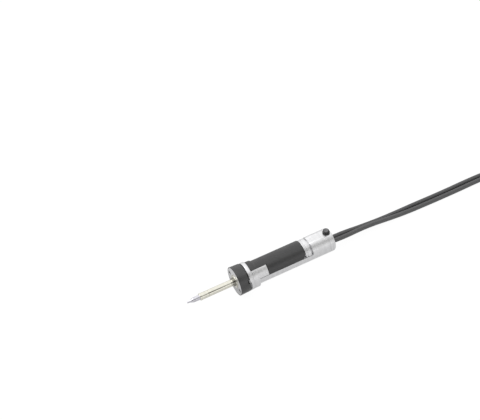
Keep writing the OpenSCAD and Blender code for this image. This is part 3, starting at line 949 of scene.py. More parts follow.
@dataclass
class Nose:
    """Nozzle, heater barrel, guard ring and front plate, which slide back together.

    The ring's long side starts a few tenths of a degree, its play, after the step of the front housing, so
    that they pass each other when the nose is pressed in.
    """

    tip: float = -60.5
    tip_r: float = 0.95
    hole_r: float = 0.5
    nut_front: float = -45.0
    nut_rear: float = -34.0
    barrel_r: float = 4.1
    barrel_rear: float = 5.9
    ring_r: float = 17.5
    ring_rear_r: float = 17.0
    ring_bore: float = 14.6
    ring_end: float = 11.9
    step: float = 1.0
    notch_depth: float = 1.5
    notch: tuple[float, float] = (-74.0, -57.0)
    step_from: float = -130.0
    play: float = 0.8
    plate_rear: float = 1.8
    recess_r: float = 8.05
    recess: float = 0.6
    screw_circle: float = 12.6
    screw_turn: float = 70.0
    socket_r: float = 1.15
    head_front: float = 0.25
    spring: tuple[float, float] = (8.0, 13.3)
    travel: float = 1.2

    def nozzle(self) -> Surface:
        """Hollow pointed nozzle: a cone with a soft shoulder, and the flange that the nut holds.

        Returns:
            The closed surface.
        """
        base, flange = self.nut_front - 2.6, self.nut_front + 1
        return turned_part([
            (self.tip, self.hole_r, 0.08), (self.tip, self.tip_r, 0.3),
            (self.tip + 3, self.tip_r + 0.25, 2.0), (self.tip + 7.2, 2.8, 2.5), (base, 3.0, 0),
            (flange, 3.0, 0), (flange, 3.3, 0.1), (flange + 2, 3.3, 0.1), (flange + 2, 1.7, 0),
            (flange + 6, 1.7, 0.1), (flange + 6, 1.1, 0), (self.tip + 9, 1.1, 0),
            (self.tip + 8.6, self.hole_r, 0),
        ])

    def nut(self) -> Surface:
        """Retaining nut: a thicker front ring on a plain sleeve.

        Returns:
            The closed surface.
        """
        f, r = self.nut_front, self.nut_rear
        return turned_part([
            (f, 3.05, 0.1), (f, 4.0, 0.12), (f + 0.4, 4.4, 0.15), (f + 1.9, 4.4, 0.12), (f + 2.1, 4.15, 0.1),
            (r - 0.3, 4.15, 0.15), (r, 3.9, 0.1), (r, 3.4, 0), (f + 0.95, 3.4, 0), (f + 0.95, 3.05, 0),
        ])

    def barrel(self) -> Surface:
        """Heater barrel: a long plain tube with a thinner neck inside the nut.

        Returns:
            The closed surface.
        """
        neck, r = self.nut_front + 3.05, self.nut_rear + 0.05
        return turned_part([
            (neck, 2.9, 0), (neck, 3.35, 0.1), (r, 3.35, 0), (r, self.barrel_r - 0.2, 0.1),
            (r + 0.25, self.barrel_r, 0.2), (self.barrel_rear, self.barrel_r, 0.1),
            (self.barrel_rear, 3.6, 0), (self.nut_rear + 1, 3.6, 0), (self.nut_rear + 1, 2.9, 0),
        ])

    def flange(self) -> Surface:
        """Base flange of the barrel: a short hub on a thin disc that sits in the plate's recess.

        Returns:
            The closed surface.
        """
        rear, rim = self.recess - 0.02, self.recess_r - 0.05
        return turned_part([
            (-3, self.barrel_r + 0.05, 0), (-3, 5.2, 0.3), (-0.8, 5.2, 0.15), (-0.8, rim, 0.3),
            (rear, rim, 0), (rear, self.barrel_r + 0.05, 0),
        ])

    def plate(self) -> tuple[Surface, list[Surface]]:
        """Front plate with its stepped screw holes.

        Returns:
            The plate, and the two holes that are cut from it.
        """
        r, bore = self.ring_r - 0.6, self.barrel_r + 0.05
        disc = turned_part([
            (self.recess, bore, 0), (self.recess, self.recess_r, 0), (0, self.recess_r, 0.08),
            (0, r - 0.3, 0.15), (0.3, r, 0.15), (self.plate_rear, r, 0), (self.plate_rear, bore, 0),
        ])
        hole = turned_part([
            (-1, 0, 0), (-1, 2.9, 0), (-0.02, 2.9, 0), (0.18, 2.7, 0),
            (1, 2.7, 0), (1, 1.3, 0), (3, 1.3, 0), (3, 0, 0),
        ])
        return disc, self.on_circle(hole)

    def on_circle(self, shape: Surface) -> list[Surface]:
        """The shape at the places of both screws."""
        return [shape.moved(z=self.screw_circle).turned(self.screw_turn + side) for side in (0, 180)]

    def screws(self) -> Surface:
        """Two screws with a low head, a rounded edge and a six-sided socket."""
        screw = socket_screw(self.head_front, 0.98, head_r=2.5, socket_r=self.socket_r, end=7.5, shank_r=1.2)
        first, second = self.on_circle(screw)
        return first.joined(second)

    def in_sockets(self, x: Array, y: Array, z: Array) -> Array:
        """Finds the points of the screws that lie inside their sockets, behind the face of the head.

        Args:
            x: Stations of the points.
            y: Distances to the far side.
            z: Heights.

        Returns:
            True for each point in a socket.
        """
        angle, circle = math.radians(self.screw_turn), self.screw_circle
        first = np.hypot(y - circle * math.sin(angle), z - circle * math.cos(angle))
        second = np.hypot(y + circle * math.sin(angle), z + circle * math.cos(angle))
        return (np.minimum(first, second) < self.socket_r) & (x > self.head_front + 0.01)

    def guard_ring(self) -> Surface:
        """Guard ring: a slightly tapered sleeve, longer on one side and notched for the housing's tooth.

        Returns:
            The closed surface.
        """
        low, high = self.notch
        start = 360 + self.step_from + self.play
        phi = fan((high, start), (start, 360 + low), (360 + low, 360 + high))
        end = self.ring_end
        rear = np.choose(stretch_of(phi), [end, end + self.step, end - self.notch_depth])
        lip, rear_r = self.ring_r - 0.55, self.ring_rear_r
        corners = [
            (0, lip, 0.15), (0, self.ring_r, 0.4), (rear, rear_r, 0.45), (rear, self.ring_bore, 0.2),
            (3, self.ring_bore, 0), (3, 14.1, 0), (self.plate_rear, 14.1, 0), (self.plate_rear, lip, 0),
        ]
        return swing_whole(outlines(corners, phi), phi)

    def build(self, shop: Workshop) -> None:
        """Makes every piece of the nose.

        Args:
            shop: The workshop.
        """
        shop.make("nozzle", self.nozzle(), Body.NOSE, Slot.NOZZLE)
        shop.make("nozzle_nut", self.nut(), Body.NOSE, Slot.GOLD)
        shop.make("heater_barrel", self.barrel(), Body.NOSE, Slot.GOLD)
        flange = shop.make("barrel_flange", self.flange(), Body.NOSE, Slot.GOLD)
        # Painted shade: the hub, and less so the disc, darkened to take out their highlight.
        mark_faces(flange.data, "recess", lambda x, y, z: np.where(np.hypot(y, z) < 5.5, 0.7, 0.2))
        disc, holes = self.plate()
        plate = shop.make("front_plate", disc, Body.NOSE, Slot.ALUMINIUM, holes)
        # Painted shade: the plate darkens towards the bottom.
        mark_faces(plate.data, "recess", lambda x, y, z: np.clip(0.12 - 0.02 * z, 0, 0.3))
        screws = shop.make("plate_screws", self.screws(), Body.NOSE, Slot.STEEL)
        # Painted shade fills the sockets; the rest of each screw is darkened by three quarters.
        mark_faces(screws.data, "recess", lambda x, y, z: np.where(self.in_sockets(x, y, z), 1, 0.75))
        shop.make("guard_ring", self.guard_ring(), Body.NOSE, Slot.RING)
        front, rear = self.spring
        coil = coil_spring(front, rear, r=3.2, wire_r=0.35, turns=4)
        keep = 1 - self.travel / (rear - front)
        shop.spring("nose_spring", coil, "nose_press", TOOL.along, [rear, 0, 0], keep)
        for node, slot in (
            ("heater_core", Slot.CERAMIC), ("heater_winding", Slot.WIRE), ("temperature_sensor", Slot.STEEL),
            ("suction_tube", Slot.STEEL), ("nose_block", Slot.INSULATOR), ("guide_pins", Slot.STEEL),
        ):
            shop.dress_node(node, slot)


def socket_screw(
    front: float, under: float, head_r: float, socket_r: float, end: float, shank_r: float
) -> Surface:
    """Screw along x with a round head and a six-sided socket.

    Each ring has 48 points. In the socket, the radius at an angle a from a flat's middle is
    socket_r cos 30 / cos a, which draws straight sides.

    Args:
        front: Station of the head's face.
        under: Station of the head's underside.
        head_r: Radius of the head.
        socket_r: Radius over the socket's corners.
        end: Station of the shank's end.
        shank_r: Radius of the shank.

    Returns:
        The closed surface.
    """
    a = np.linspace(0, 2 * math.pi, 48, endpoint=False)
    circle = np.ones_like(a)
    six = socket_r * math.cos(math.pi / 6) / np.cos((a + math.pi / 6) % (math.pi / 3) - math.pi / 6)
    deep, edge = (under - front) * 0.85, min(0.2, 0.3 * (under - front))
    rows = [
        (front + deep, 0 * circle), (front + deep, six), (front, six), (front, (head_r - edge) * circle),
        (front + 0.3 * edge, (head_r - 0.3 * edge) * circle), (front + edge, head_r * circle),
        (under, head_r * circle), (under, shank_r * circle), (end, shank_r * circle), (end, 0 * circle),
    ]
    rings = np.stack([np.stack([x + 0 * r, r * np.sin(a), r * np.cos(a)], axis=-1) for x, r in rows])
    return Surface(rings.reshape(-1, 3), skin_faces(len(rows), len(a), False))


def mark_faces(mesh: bpy.types.Mesh, name: str, share: Callable[[Array, Array, Array], Array]) -> None:
    """Gives a mesh a face attribute that a finish reads.

    Args:
        mesh: A piece's mesh, in the shared frame.
        name: The attribute's name.
        share: Its value for the middles of the faces, in the tool's own frame.
    """
    middles = np.array([face.center[:] for face in mesh.polygons]) - TOOL.origin
    x, y, z = (middles @ axis / MM for axis in (TOOL.along, TOOL.across, TOOL.up))
    layer = mesh.attributes.new(name, "FLOAT", "FACE")
    layer.data.foreach_set("value", np.asarray(share(x, y, z), np.float32))


@dataclass
class Housing:
    """Front housing, body tube, end plate and what is screwed into them."""

    spigot: float = 9.8
    flange: float = 13.3
    flange_rear: float = 17.8
    flange_r: float = 16.8
    spigot_r: float = 13.7
    bush_r: float = 14.5
    tooth: tuple[float, float] = (-72.0, -59.0)
    tooth_front: float = 11.8
    tooth_r: float = 16.3
    step_from: float = -130.0
    plug_rear: float = 27.0
    seal_front: float = 35.0
    collar_r: float = 16.5
    collar_rear: float = 25.5
    block_end: float = 38.0
    block_phi: tuple[float, float] = (280.5, 332.4)
    grip_r: float = 14.2
    cover_r: float = 12.3
    body_r: float = 14.0
    rail_z: float = 1.9
    shell_r: float = 11.25
    guide_r: float = 10.8
    open_end: float = 96.0
    guide_rear: float = 107.0
    rear_end: float = 126.5
    edge_r: float = 3.0
    flat_z: float = 12.68
    groove: tuple[float, float] = (118.6, 119.4)
    button_x: float = 121.0
    screw_x: float = 22.0
    lock_turn: float = 150.0
    lug: tuple[float, float] = (8.0, -4.9)
    cord: tuple[float, float] = (2.75, -2.4)

    def front(self) -> Surface:
        """Front housing: spigot, stepped flange with a tooth, and the plug that the tubes sit on.

        Returns:
            The closed surface.
        """
        low, high = self.tooth
        start = 360 + self.step_from
        phi = fan((high, start), (start, 360 + low), (360 + low, 360 + high))
        part = stretch_of(phi)
        face = np.choose(part, [self.flange, self.flange + 1, self.flange])
        nose = np.choose(part, [self.flange, self.flange + 1, self.tooth_front])
        nose_r = np.choose(part, [self.bush_r, self.bush_r, self.tooth_r])
        plug_r = self.shell_r - 0.1
        corners = [
            (self.spigot, 1.6, 0), (self.spigot, self.spigot_r, 0.2), (self.flange, self.spigot_r, 0),
            (self.flange, self.bush_r, 0), (nose, self.bush_r, 0), (nose, nose_r, 0.15),
            (face, nose_r, 0), (face, self.flange_r, 0.3), (self.flange_rear, self.flange_r, 0.4),
            (self.flange_rear, plug_r, 0), (self.plug_rear, plug_r, 0.2), (self.plug_rear, 9, 0),
            (self.seal_front, 9, 0.2), (self.seal_front, 1.6, 0),
        ]
        return swing_whole(outlines(corners, phi), phi)

    def bush(self) -> Surface:
        """Sleeve on the front of the housing that the guard ring slides on."""
        front, rear, inner, r = self.spigot, self.flange - 0.02, self.spigot_r + 0.05, self.bush_r
        return turned_part([(front, inner, 0), (front, r, 0.2), (rear, r, 0), (rear, inner, 0)])

    def collar(self) -> tuple[Surface, list[Surface]]:
        """Front collar: a clamp ring round the lower side, and the side block in the grip's cut-out.

        Returns:
            The collar, and the stepped screw hole that is cut from it.
        """
        start, ring_to = 90.0, 318.0
        block_from, end = self.block_phi
        phi = fan((start, block_from), (block_from, ring_to), (ring_to, end))
        part = stretch_of(phi)
        front, ring_in = self.flange_rear + 0.02, self.body_r + 0.1
        inner = np.choose(part, [ring_in, self.cover_r, self.cover_r])
        outer = np.choose(part, [self.collar_r, self.collar_r, self.grip_r])
        seat = np.choose(part, [ring_in, self.grip_r, self.grip_r])
        far = np.choose(part, [self.collar_rear, self.block_end, self.block_end])
        corners = [
            (front, inner, 0), (front, outer, 0.15), (self.collar_rear, outer, 0.5),
            (self.collar_rear, seat, 0), (far, seat, 0.25), (far, inner, 0.1),
        ]
        hole = turned_part([
            (10, 0, 0), (10, 1.3, 0), (14.6, 1.3, 0), (14.6, 2.1, 0), (18, 2.1, 0), (18, 0, 0),
        ])
        return swing(outlines(corners, phi), phi), [hole.upright(self.screw_x).turned(self.lock_turn)]

    def outline(self, phi: Array) -> Array:
        """Outlines of the body tube's wall at each angle.

        Below the rails the wall starts at the front collar, above them at the open end with a chamfer. The
        outer radius is that of the turned body, with its groove and its rounded rear edge, but not more than
        flat_z / cos phi, which cuts the flat. The rear edge's arc ends on the bore.

        Args:
            phi: Angles in degrees from one rail over the top and right round, with both rails' angles twice.

        Returns:
            Outlines of shape (angles, points, 2).
        """
        lower, bevel = stretch_of(phi) > 0, 0.45
        front = np.where(lower, self.flange_rear + 0.1, self.open_end)
        chamfer = np.where(lower, 0.0, bevel)
        g0, g1 = self.groove
        turn = np.linspace(0, math.acos((self.shell_r - self.body_r + self.edge_r) / self.edge_r), 13)
        arc_x = self.rear_end - self.edge_r + self.edge_r * np.sin(turn)
        arc_r = self.body_r - self.edge_r + self.edge_r * np.cos(turn)
        fixed_x = np.concatenate([[self.open_end + bevel, g0 - 0.12, g0, g0, g1, g1, g1 + 0.12], arc_x])
        full, edge, dip = self.body_r, self.body_r - 0.1, self.body_r - 0.35
        fixed_r = np.concatenate([[full, full, edge, dip, dip, edge, full], arc_r])
        cosine, steepest = np.cos(np.radians(phi)), 0.3
        level = np.where(cosine > steepest, self.flat_z / np.maximum(cosine, steepest), np.inf)
        shell, guide = self.shell_r, self.guide_r
        inside_x = [arc_x[-1], self.guide_rear, self.guide_rear, self.open_end, self.open_end]
        stations = [front, front + chamfer, *fixed_x, *inside_x, front]
        outer_r = [np.minimum(r, level) for r in (full - 2 * chamfer, full, *fixed_r)]
        radii = [*outer_r, shell, shell, guide, guide, shell, shell]
        pairs = [np.stack(np.broadcast_arrays(x, r, phi)[:2], axis=-1) for x, r in zip(stations, radii)]
        return np.stack(pairs, axis=1)

    def body(self) -> tuple[Surface, list[Surface]]:
        """Body tube: a trough under the collector and a closed rear housing with a flat on top.

        Returns:
            The tube, and the holes of the button and the screw, which are cut from it.
        """
        edge = math.degrees(math.acos(self.flat_z / self.body_r))
        rail = math.degrees(math.acos(self.rail_z / self.body_r))
        over = [fan((-rail, -edge)), fan((-edge, edge))[1:-1], fan((edge, rail))]
        phi = np.concatenate([*over, fan((rail, 360 - rail))])
        surface = swing_whole(self.outline(phi), phi)
        button_hole = rod(9, 16, 4.15).upright(self.button_x)
        screw_hole = rod(9, 16, 1.3).upright(self.screw_x).turned(self.lock_turn)
        return surface, [button_hole, screw_hole]

    def at_lugs(self, shape: Surface) -> list[Surface]:
        """The shape at the places of both end screws."""
        y, z = self.lug
        return [shape.moved(y=side * y, z=z) for side in (-1, 1)]

    def lugs(self) -> Surface:
        """Two lugs inside the rear end that the end screws go into."""
        first, second = self.at_lugs(rod(118, 123.98, 2.15, 0.2))
        return first.joined(second)

    def twin(self, stations: Sequence[float], radii: Sequence[float]) -> Surface:
        """Bar of two round cords' outline: a slot with round ends.

        Args:
            stations: Stations along the bar.
            radii: Radius of the ends at each station.

        Returns:
            The closed surface.
        """
        y, z = self.cord
        half = np.arange(0, 181, 7.5)
        a = np.radians(np.concatenate([half, half + 180]))
        across, up, centre = np.sin(a), np.cos(a), np.repeat([y, -y], len(half))
        rings = [
            np.stack([x + 0 * a, centre + r * across, z + r * up], axis=-1) for x, r in zip(stations, radii)
        ]
        return loft(np.stack(rings))

    def end_plate(self) -> tuple[Surface, list[Surface]]:
        """Round end plate.

        Returns:
            The plate, and what is cut from it: the cords' slot, two stepped screw holes and the place of
            the button.
        """
        hole = turned_part([
            (123, 0, 0), (123, 0.95, 0), (124.8, 0.95, 0), (124.8, 1.65, 0), (127, 1.65, 0), (127, 0, 0),
        ])
        scallop = rod(6.4, 16, 4.4).upright(self.button_x)
        disc = rod(124, 126, self.shell_r - 0.05, 0.15)
        return disc, [self.twin([123, 127], [3.05, 3.05]), *self.at_lugs(hole), scallop]

    def build(self, shop: Workshop) -> None:
        """Makes every piece of the housing.

        Args:
            shop: The workshop.
        """
        front = shop.make("front_housing", self.front(), Body.CHASSIS, Slot.ALUMINIUM)
        # Painted shade: the spigot and the tooth in front of the flange, in the gap behind the guard ring,
        # are darkened.
        mark_faces(front.data, "recess", lambda x, y, z: np.where(x < self.flange - 0.05, 0.6, 0))
        shop.make("slide_bush", self.bush(), Body.CHASSIS, Slot.RING)
        collar, hole = self.collar()
        shop.make("front_collar", collar, Body.CHASSIS, Slot.ALUMINIUM, hole)
        body, holes = self.body()
        shop.make("body_tube", body, Body.CHASSIS, Slot.ALUMINIUM, holes)
        shop.make("body_tube_lugs", self.lugs(), Body.CHASSIS, Slot.ALUMINIUM, extra=True)
        lock = socket_screw(-15.85, -14.65, head_r=1.95, socket_r=0.9, end=-8, shank_r=1.0).mirrored()
        lock = lock.upright(self.screw_x).turned(self.lock_turn)
        shop.make("housing_screw", lock, Body.CHASSIS, Slot.STEEL)
        plate, cuts = self.end_plate()
        shop.make("end_plate", plate, Body.CHASSIS, Slot.ALUMINIUM, cuts)
        tail = socket_screw(-125.9, -124.82, head_r=1.6, socket_r=0.8, end=-119, shank_r=0.8).mirrored()
        first, second = self.at_lugs(tail)
        shop.make("end_screws", first.joined(second), Body.CHASSIS, Slot.STEEL)
        stations = [122.95, 123.97, 123.98, 126, 127.4, 128.2, 128.5]
        radii = [3.5, 3.5, 3.0, 3.0, 2.98, 2.9, 2.78]
        shop.make("cord_grommet", self.twin(stations, radii), Body.CHASSIS, Slot.GROMMET)
        for node, slot in (
            ("nose_switch", Slot.RING), ("vacuum_port", Slot.BRASS), ("inner_hose", Slot.INNER_RUBBER),
            ("button_switch", Slot.RING), ("switch_board", Slot.BOARD), ("heater_leads", Slot.SLEEVE),
        ):
            shop.dress_node(node, slot)


def rounding(h: Array, r: float) -> Array:
    """How far a rounded edge is from its straight line: r - sqrt(r^2 - (r - h)^2) while h is below r.

    Args:
        h: Heights above the edge.
        r: Radius of the rounding.

    Returns:
        The distance at each height.
    """
    return r - np.sqrt(np.maximum(0, r**2 - np.maximum(0, r - h) ** 2))


@dataclass
class Collector:
    """Grip cover with the solder collector clipped into it, and the seals at its ends."""

    front: float = 18.1
    rear: float = 86.6
    grip_r: float = 14.2
    cover_r: float = 12.3
    cut_x: float = 38.3
    cut_phi: float = -27.0
    bottom: float = 2.05
    corner_r: float = 7.0
    lip_r: float = 15.5
    lip_end: float = 24.5
    glass_front: float = 39.0
    glass_rear: float = 78.0
    glass_r: float = 8.5
    glass_in_r: float = 7.4
    seal_front: float = 35.0
    carrier_front: float = 81.0

    def cover(self) -> Surface:
        """Grip cover: half a tube with rounded lower rear corners and a cut-out at the near front corner.

        Near the lower edge the rear end steps back and the outer radius drops, both by a rounding.

        Returns:
            The closed surface.
        """
        lowest = math.degrees(math.acos(self.bottom / self.grip_r))
        near = np.array([0, 0.6, 1.4, 2.6, 4.5, 7.5, 11]) - lowest
        middle = fan((15 - lowest, self.cut_phi), (self.cut_phi, lowest - 15))
        phi = np.concatenate([near, middle, -near[::-1]])
        h = self.grip_r * np.cos(np.radians(phi)) - self.bottom
        rear = self.rear - rounding(h, self.corner_r)
        outer = self.grip_r - rounding(h, 0.35)
        tongue = stretch_of(phi) > 0
        front = np.where(tongue, self.front, self.cut_x)
        lip = np.where(tongue, self.lip_r, outer)
        lip_end = np.where(tongue, self.lip_end, self.cut_x + 1)
        corners = [
            (front, self.cover_r, 0.1), (front, lip, 0.4), (lip_end, lip, 1.5), (lip_end + 2, outer, 1.5),
            (rear, outer, 0.6), (rear, self.cover_r, 0.1),
        ]
        return swing(outlines(corners, phi, 4), phi)

    def clips(self) -> Surface:
        """Two spring clips inside the cover that hold the collector, each on a short web.

        Returns:
            The closed surfaces as one.
        """
        parts, inner, roof = [], self.glass_r + 0.05, self.cover_r + 0.1
        for x in (41.0, 68.0):
            ring = [(x, inner, 0.1), (x, 9.7, 0.2), (x + 2, 9.7, 0.2), (x + 2, inner, 0.1)]
            web = [(x, 9.6, 0), (x, roof, 0), (x + 2, roof, 0), (x + 2, 9.6, 0)]
            parts.append(swing(rounded(np.array(ring)), fan((-108, 108))))
            parts.append(swing(rounded(np.array(web)), fan((-60, 60))))
        return parts[0].joined(*parts[1:])

    def build(self, shop: Workshop) -> None:
        """Makes the cover, the collector and the seals.

        Args:
            shop: The workshop.
        """
        shop.make("grip_cover", self.cover().joined(self.clips()), Body.COVER, Slot.GRIP)
        a, b, inner, outer = self.glass_front + 0.05, self.glass_rear - 0.05, self.glass_in_r, self.glass_r
        glass = turned_part([(a, inner, 0.3), (a, outer, 0.5), (b, outer, 0.5), (b, inner, 0.3)])
        shop.make("collector_tube", glass, Body.COVER, Slot.GLASS)
        fit = self.glass_in_r - 0.05
        baffle = turned_part([
            (47, 0, 0), (48, 1.6, 1.0), (52, 3, 0.6), (52, fit, 0.2), (53.2, fit, 0.2), (53.2, 0, 0),
        ])
        holes = [rod(51, 54, 1.4).moved(z=5.1).turned(turn) for turn in range(0, 360, 60)]
        shop.make("collector_baffle", baffle, Body.COVER, Slot.STEEL, holes)
        shop.make("filter_pad", rod(66, self.glass_rear - 0.1, fit, 0.6), Body.COVER, Slot.FELT)
        s, g = self.seal_front, self.glass_front
        seal = turned_part([
            (s + 0.02, 1.55, 0.1), (s + 0.02, 8, 0.3), (s + 0.8, 8.6, 0.3), (s + 1.4, 8.6, 0.2),
            (s + 1.9, 8.2, 0.2), (s + 2.4, 8.6, 0.2), (g, 8.6, 0.3), (g, 1.55, 0.1),
        ])
        shop.make("front_seal", seal, Body.CHASSIS, Slot.SILICONE)
        b, c = self.glass_rear, self.carrier_front - 0.02
        rear_seal = turned_part([(b, 2, 0.2), (b, 8.6, 0.4), (c, 8.6, 0.3), (c, 2, 0)])
        shop.make("rear_seal", rear_seal, Body.CLAMP, Slot.SILICONE)


@dataclass
class Clamp:
    """Ribbed clamp collar on its sliding sleeve, the seal carrier inside it and its spring."""

    front: float = 81.0
    rear: float = 104.7
    sleeve_r: float = 10.7
    sleeve_in: float = 9.2
    neck: tuple[float, float] = (87.0, 94.2)
    rib_r: float = 13.6
    rib_phi: float = 81.0
    slot_phi: float = 165.0
    spring: tuple[float, float] = (85.0, 105.0)
    travel: float = 1.7

    def collar(self) -> Surface:
        """Sleeve with a slot below and two thumb ribs on its upper half, a groove between them.

        Returns:
            The closed surface.
        """
        slot, rib = self.slot_phi, self.rib_phi
        phi = fan((-slot, -rib), (-rib, rib), (rib, slot))
        ribbed = stretch_of(phi) == 1
        top = np.where(ribbed, self.rib_r, self.sleeve_r)
        dip = np.where(ribbed, self.rib_r - 0.6, self.sleeve_r)
        n0, n1 = self.neck
        corners = [
            (self.front, 8, 0), (self.front, self.sleeve_r, 0.2), (n0, self.sleeve_r, 0), (n0, top, 0.35),
            (n0 + 1.7, top, 0.25), (n0 + 2, dip, 0.1), (n0 + 2.8, dip, 0.1), (n0 + 3.1, top, 0.25),
            (n1, top, 0.35), (n1, self.sleeve_r, 0), (self.rear, self.sleeve_r, 0.2),
            (self.rear, self.sleeve_in, 0), (self.front + 1, self.sleeve_in, 0), (self.front + 1, 8, 0),
        ]
        return swing(outlines(corners, phi), phi)

    def carrier(self) -> Surface:
        """Seal carrier: a disc with a groove and the tube that slides in the vacuum port.

        Returns:
            The closed surface.
        """
        f = self.front
        return turned_part([
            (f, 1.3, 0), (f, 7.9, 0.2), (82.05, 7.9, 0), (82.05, 9, 0.2), (85, 9, 0.2), (85, 4, 0.3),
            (86, 2.4, 0.4), (108, 2.4, 0.2), (108, 1.3, 0),
        ])

    def build(self, shop: Workshop) -> None:
        """Makes the clamp's pieces.

        Args:
            shop: The workshop.
        """
        shop.make("clamp_collar", self.collar(), Body.CLAMP, Slot.ALUMINIUM)
        shop.make("seal_carrier", self.carrier(), Body.CLAMP, Slot.ALUMINIUM)
        front, rear = self.spring
        coil = coil_spring(front, rear, r=5.4, wire_r=0.45, turns=7)
        keep = 1 - self.travel / (rear - front)
        shop.spring("clamp_spring", coil, "clamp_slide", TOOL.along, [rear, 0, 0], keep)


@dataclass
class Button:
    """Round button in a bezel on the flat, with its return spring."""

    x: float = 121.0
    flat_z: float = 12.68
    cap_r: float = 3.6
    proud: float = 4.2
    foot: float = 7.9
    bezel_high: float = 1.8
    travel: float = 1.2
    spring: tuple[float, float] = (6.1, 12.0)

    def build(self, shop: Workshop) -> None:
        """Makes the cap, the bezel and the spring.

        Args:
            shop: The workshop.
        """
        top, foot, r = self.flat_z + self.proud, self.foot, self.cap_r
        cap = turned_part([
            (12, 0, 0), (12, 2.85, 0), (foot, 2.85, 0), (foot, 3.9, 0.1), (foot + 0.7, 3.9, 0.1),
            (foot + 0.7, r, 0), (top - 0.15, r, 0.75), (top - 0.15, r - 1.1, 0.5),
            (top - 0.42, r - 1.6, 0.6), (top - 0.55, 0, 0),
        ], 5)
        cap = shop.make("button_cap", cap.upright(self.x), Body.BUTTON, Slot.BUTTON)
        # Painted highlight: the middle of the cap's top is greyed in patches.
        mark_faces(cap.data, "painted_highlight", lambda x, y, z: (np.hypot(x - self.x, y) < r - 0.9) & (z > top - 1))
        inner, rim = r + 0.07, self.flat_z + self.bezel_high
        bezel = turned_part([
            (8.9, inner, 0), (8.9, 4.1, 0.1), (self.flat_z + 0.02, 4.1, 0), (self.flat_z + 0.02, 4.4, 0.05),
            (rim - 0.45, 4.4, 0.3), (rim, 3.95, 0.2), (rim, inner, 0.1),
        ])
        shop.make("button_bezel", bezel.upright(self.x), Body.CHASSIS, Slot.BEZEL)
        low, high = self.spring
        coil = coil_spring(low, high, r=2.3, wire_r=0.25, turns=5).upright(self.x)
        keep = 1 - self.travel / (high - low)
        shop.spring("button_spring", coil, "button_press", TOOL.up, [self.x, 0, low], keep)


# Cords, in the shared frame, on the surface that the tool lies on

CORD_D = 5.5
CABLE_ROUTE = (
    (95.4, -2.75, 11.4), (106.0, -2.9, 10.6), (117.5, -2.8, 10.0), (129.0, -2.5, 9.6),
    (141.0, -2.5, 9.0), (153.0, -2.7, 7.9), (165.0, -3.0, 6.3), (177.0, -3.2, 4.7),
    (190.0, -3.6, 3.5), (204.0, -4.1, 2.85), (218.0, -4.7, 2.75), (232.0, -5.3, 2.75),
    (246.0, -5.8, 2.75), (260.0, -6.2, 2.75), (274.0, -6.4, 2.75), (288.0, -6.6, 2.75),
    (302.0, -7.3, 2.75), (316.0, -9.0, 2.75), (330.0, -12.4, 2.9), (344.0, -16.8, 3.2),
    (358.0, -20.6, 3.5), (372.0, -22.0, 3.55),
)
HOSE_ROUTE = (
    (95.4, 2.75, 11.4), (106.0, 2.9, 10.7), (117.5, 2.8, 9.6), (129.0, 2.6, 8.1),
    (141.0, 2.6, 6.5), (153.0, 2.8, 4.9), (165.0, 2.9, 3.7), (177.0, 2.9, 3.0),
    (190.0, 2.6, 2.75), (204.0, 2.2, 2.75), (218.0, 1.6, 2.75), (232.0, 1.0, 2.75),
    (246.0, 0.5, 2.75), (260.0, 0.2, 2.75), (274.0, 0.0, 2.75), (288.0, -0.4, 2.75),
    (302.0, -1.2, 2.75), (316.0, -3.0, 2.75), (330.0, -6.4, 2.9), (344.0, -10.8, 3.2),
    (358.0, -14.8, 3.5), (372.0, -16.5, 3.55),
)
CABLE_TAIL = (
    (376.0, -22.0, 20.05), (384.0, -22.0, 21.1), (392.0, -22.0, 23.7), (400.0, -20.8, 26.8),
    (408.0, -19.7, 29.4), (416.0, -19.25, 30.45),
)
HOSE_TAIL = (
    (456.0, 16.5, 20.05), (448.0, 16.5, 20.4), (439.0, 16.5, 21.3), (430.0, 16.5, 23.0),
    (421.0, 17.1, 25.3), (412.0, 18.5, 27.2), (404.0, 19.25, 27.85),
)


def in_metres(points: Array) -> Array:
    """Points of the shared frame given in millimetres, in metres."""
    return MM * np.asarray(points, float)


def resting(path: Array) -> Array:
    """Path of a cord that is nowhere lower than half its thickness."""
    path[:, 2] = np.maximum(path[:, 2], CORD_D / 2)
    return path


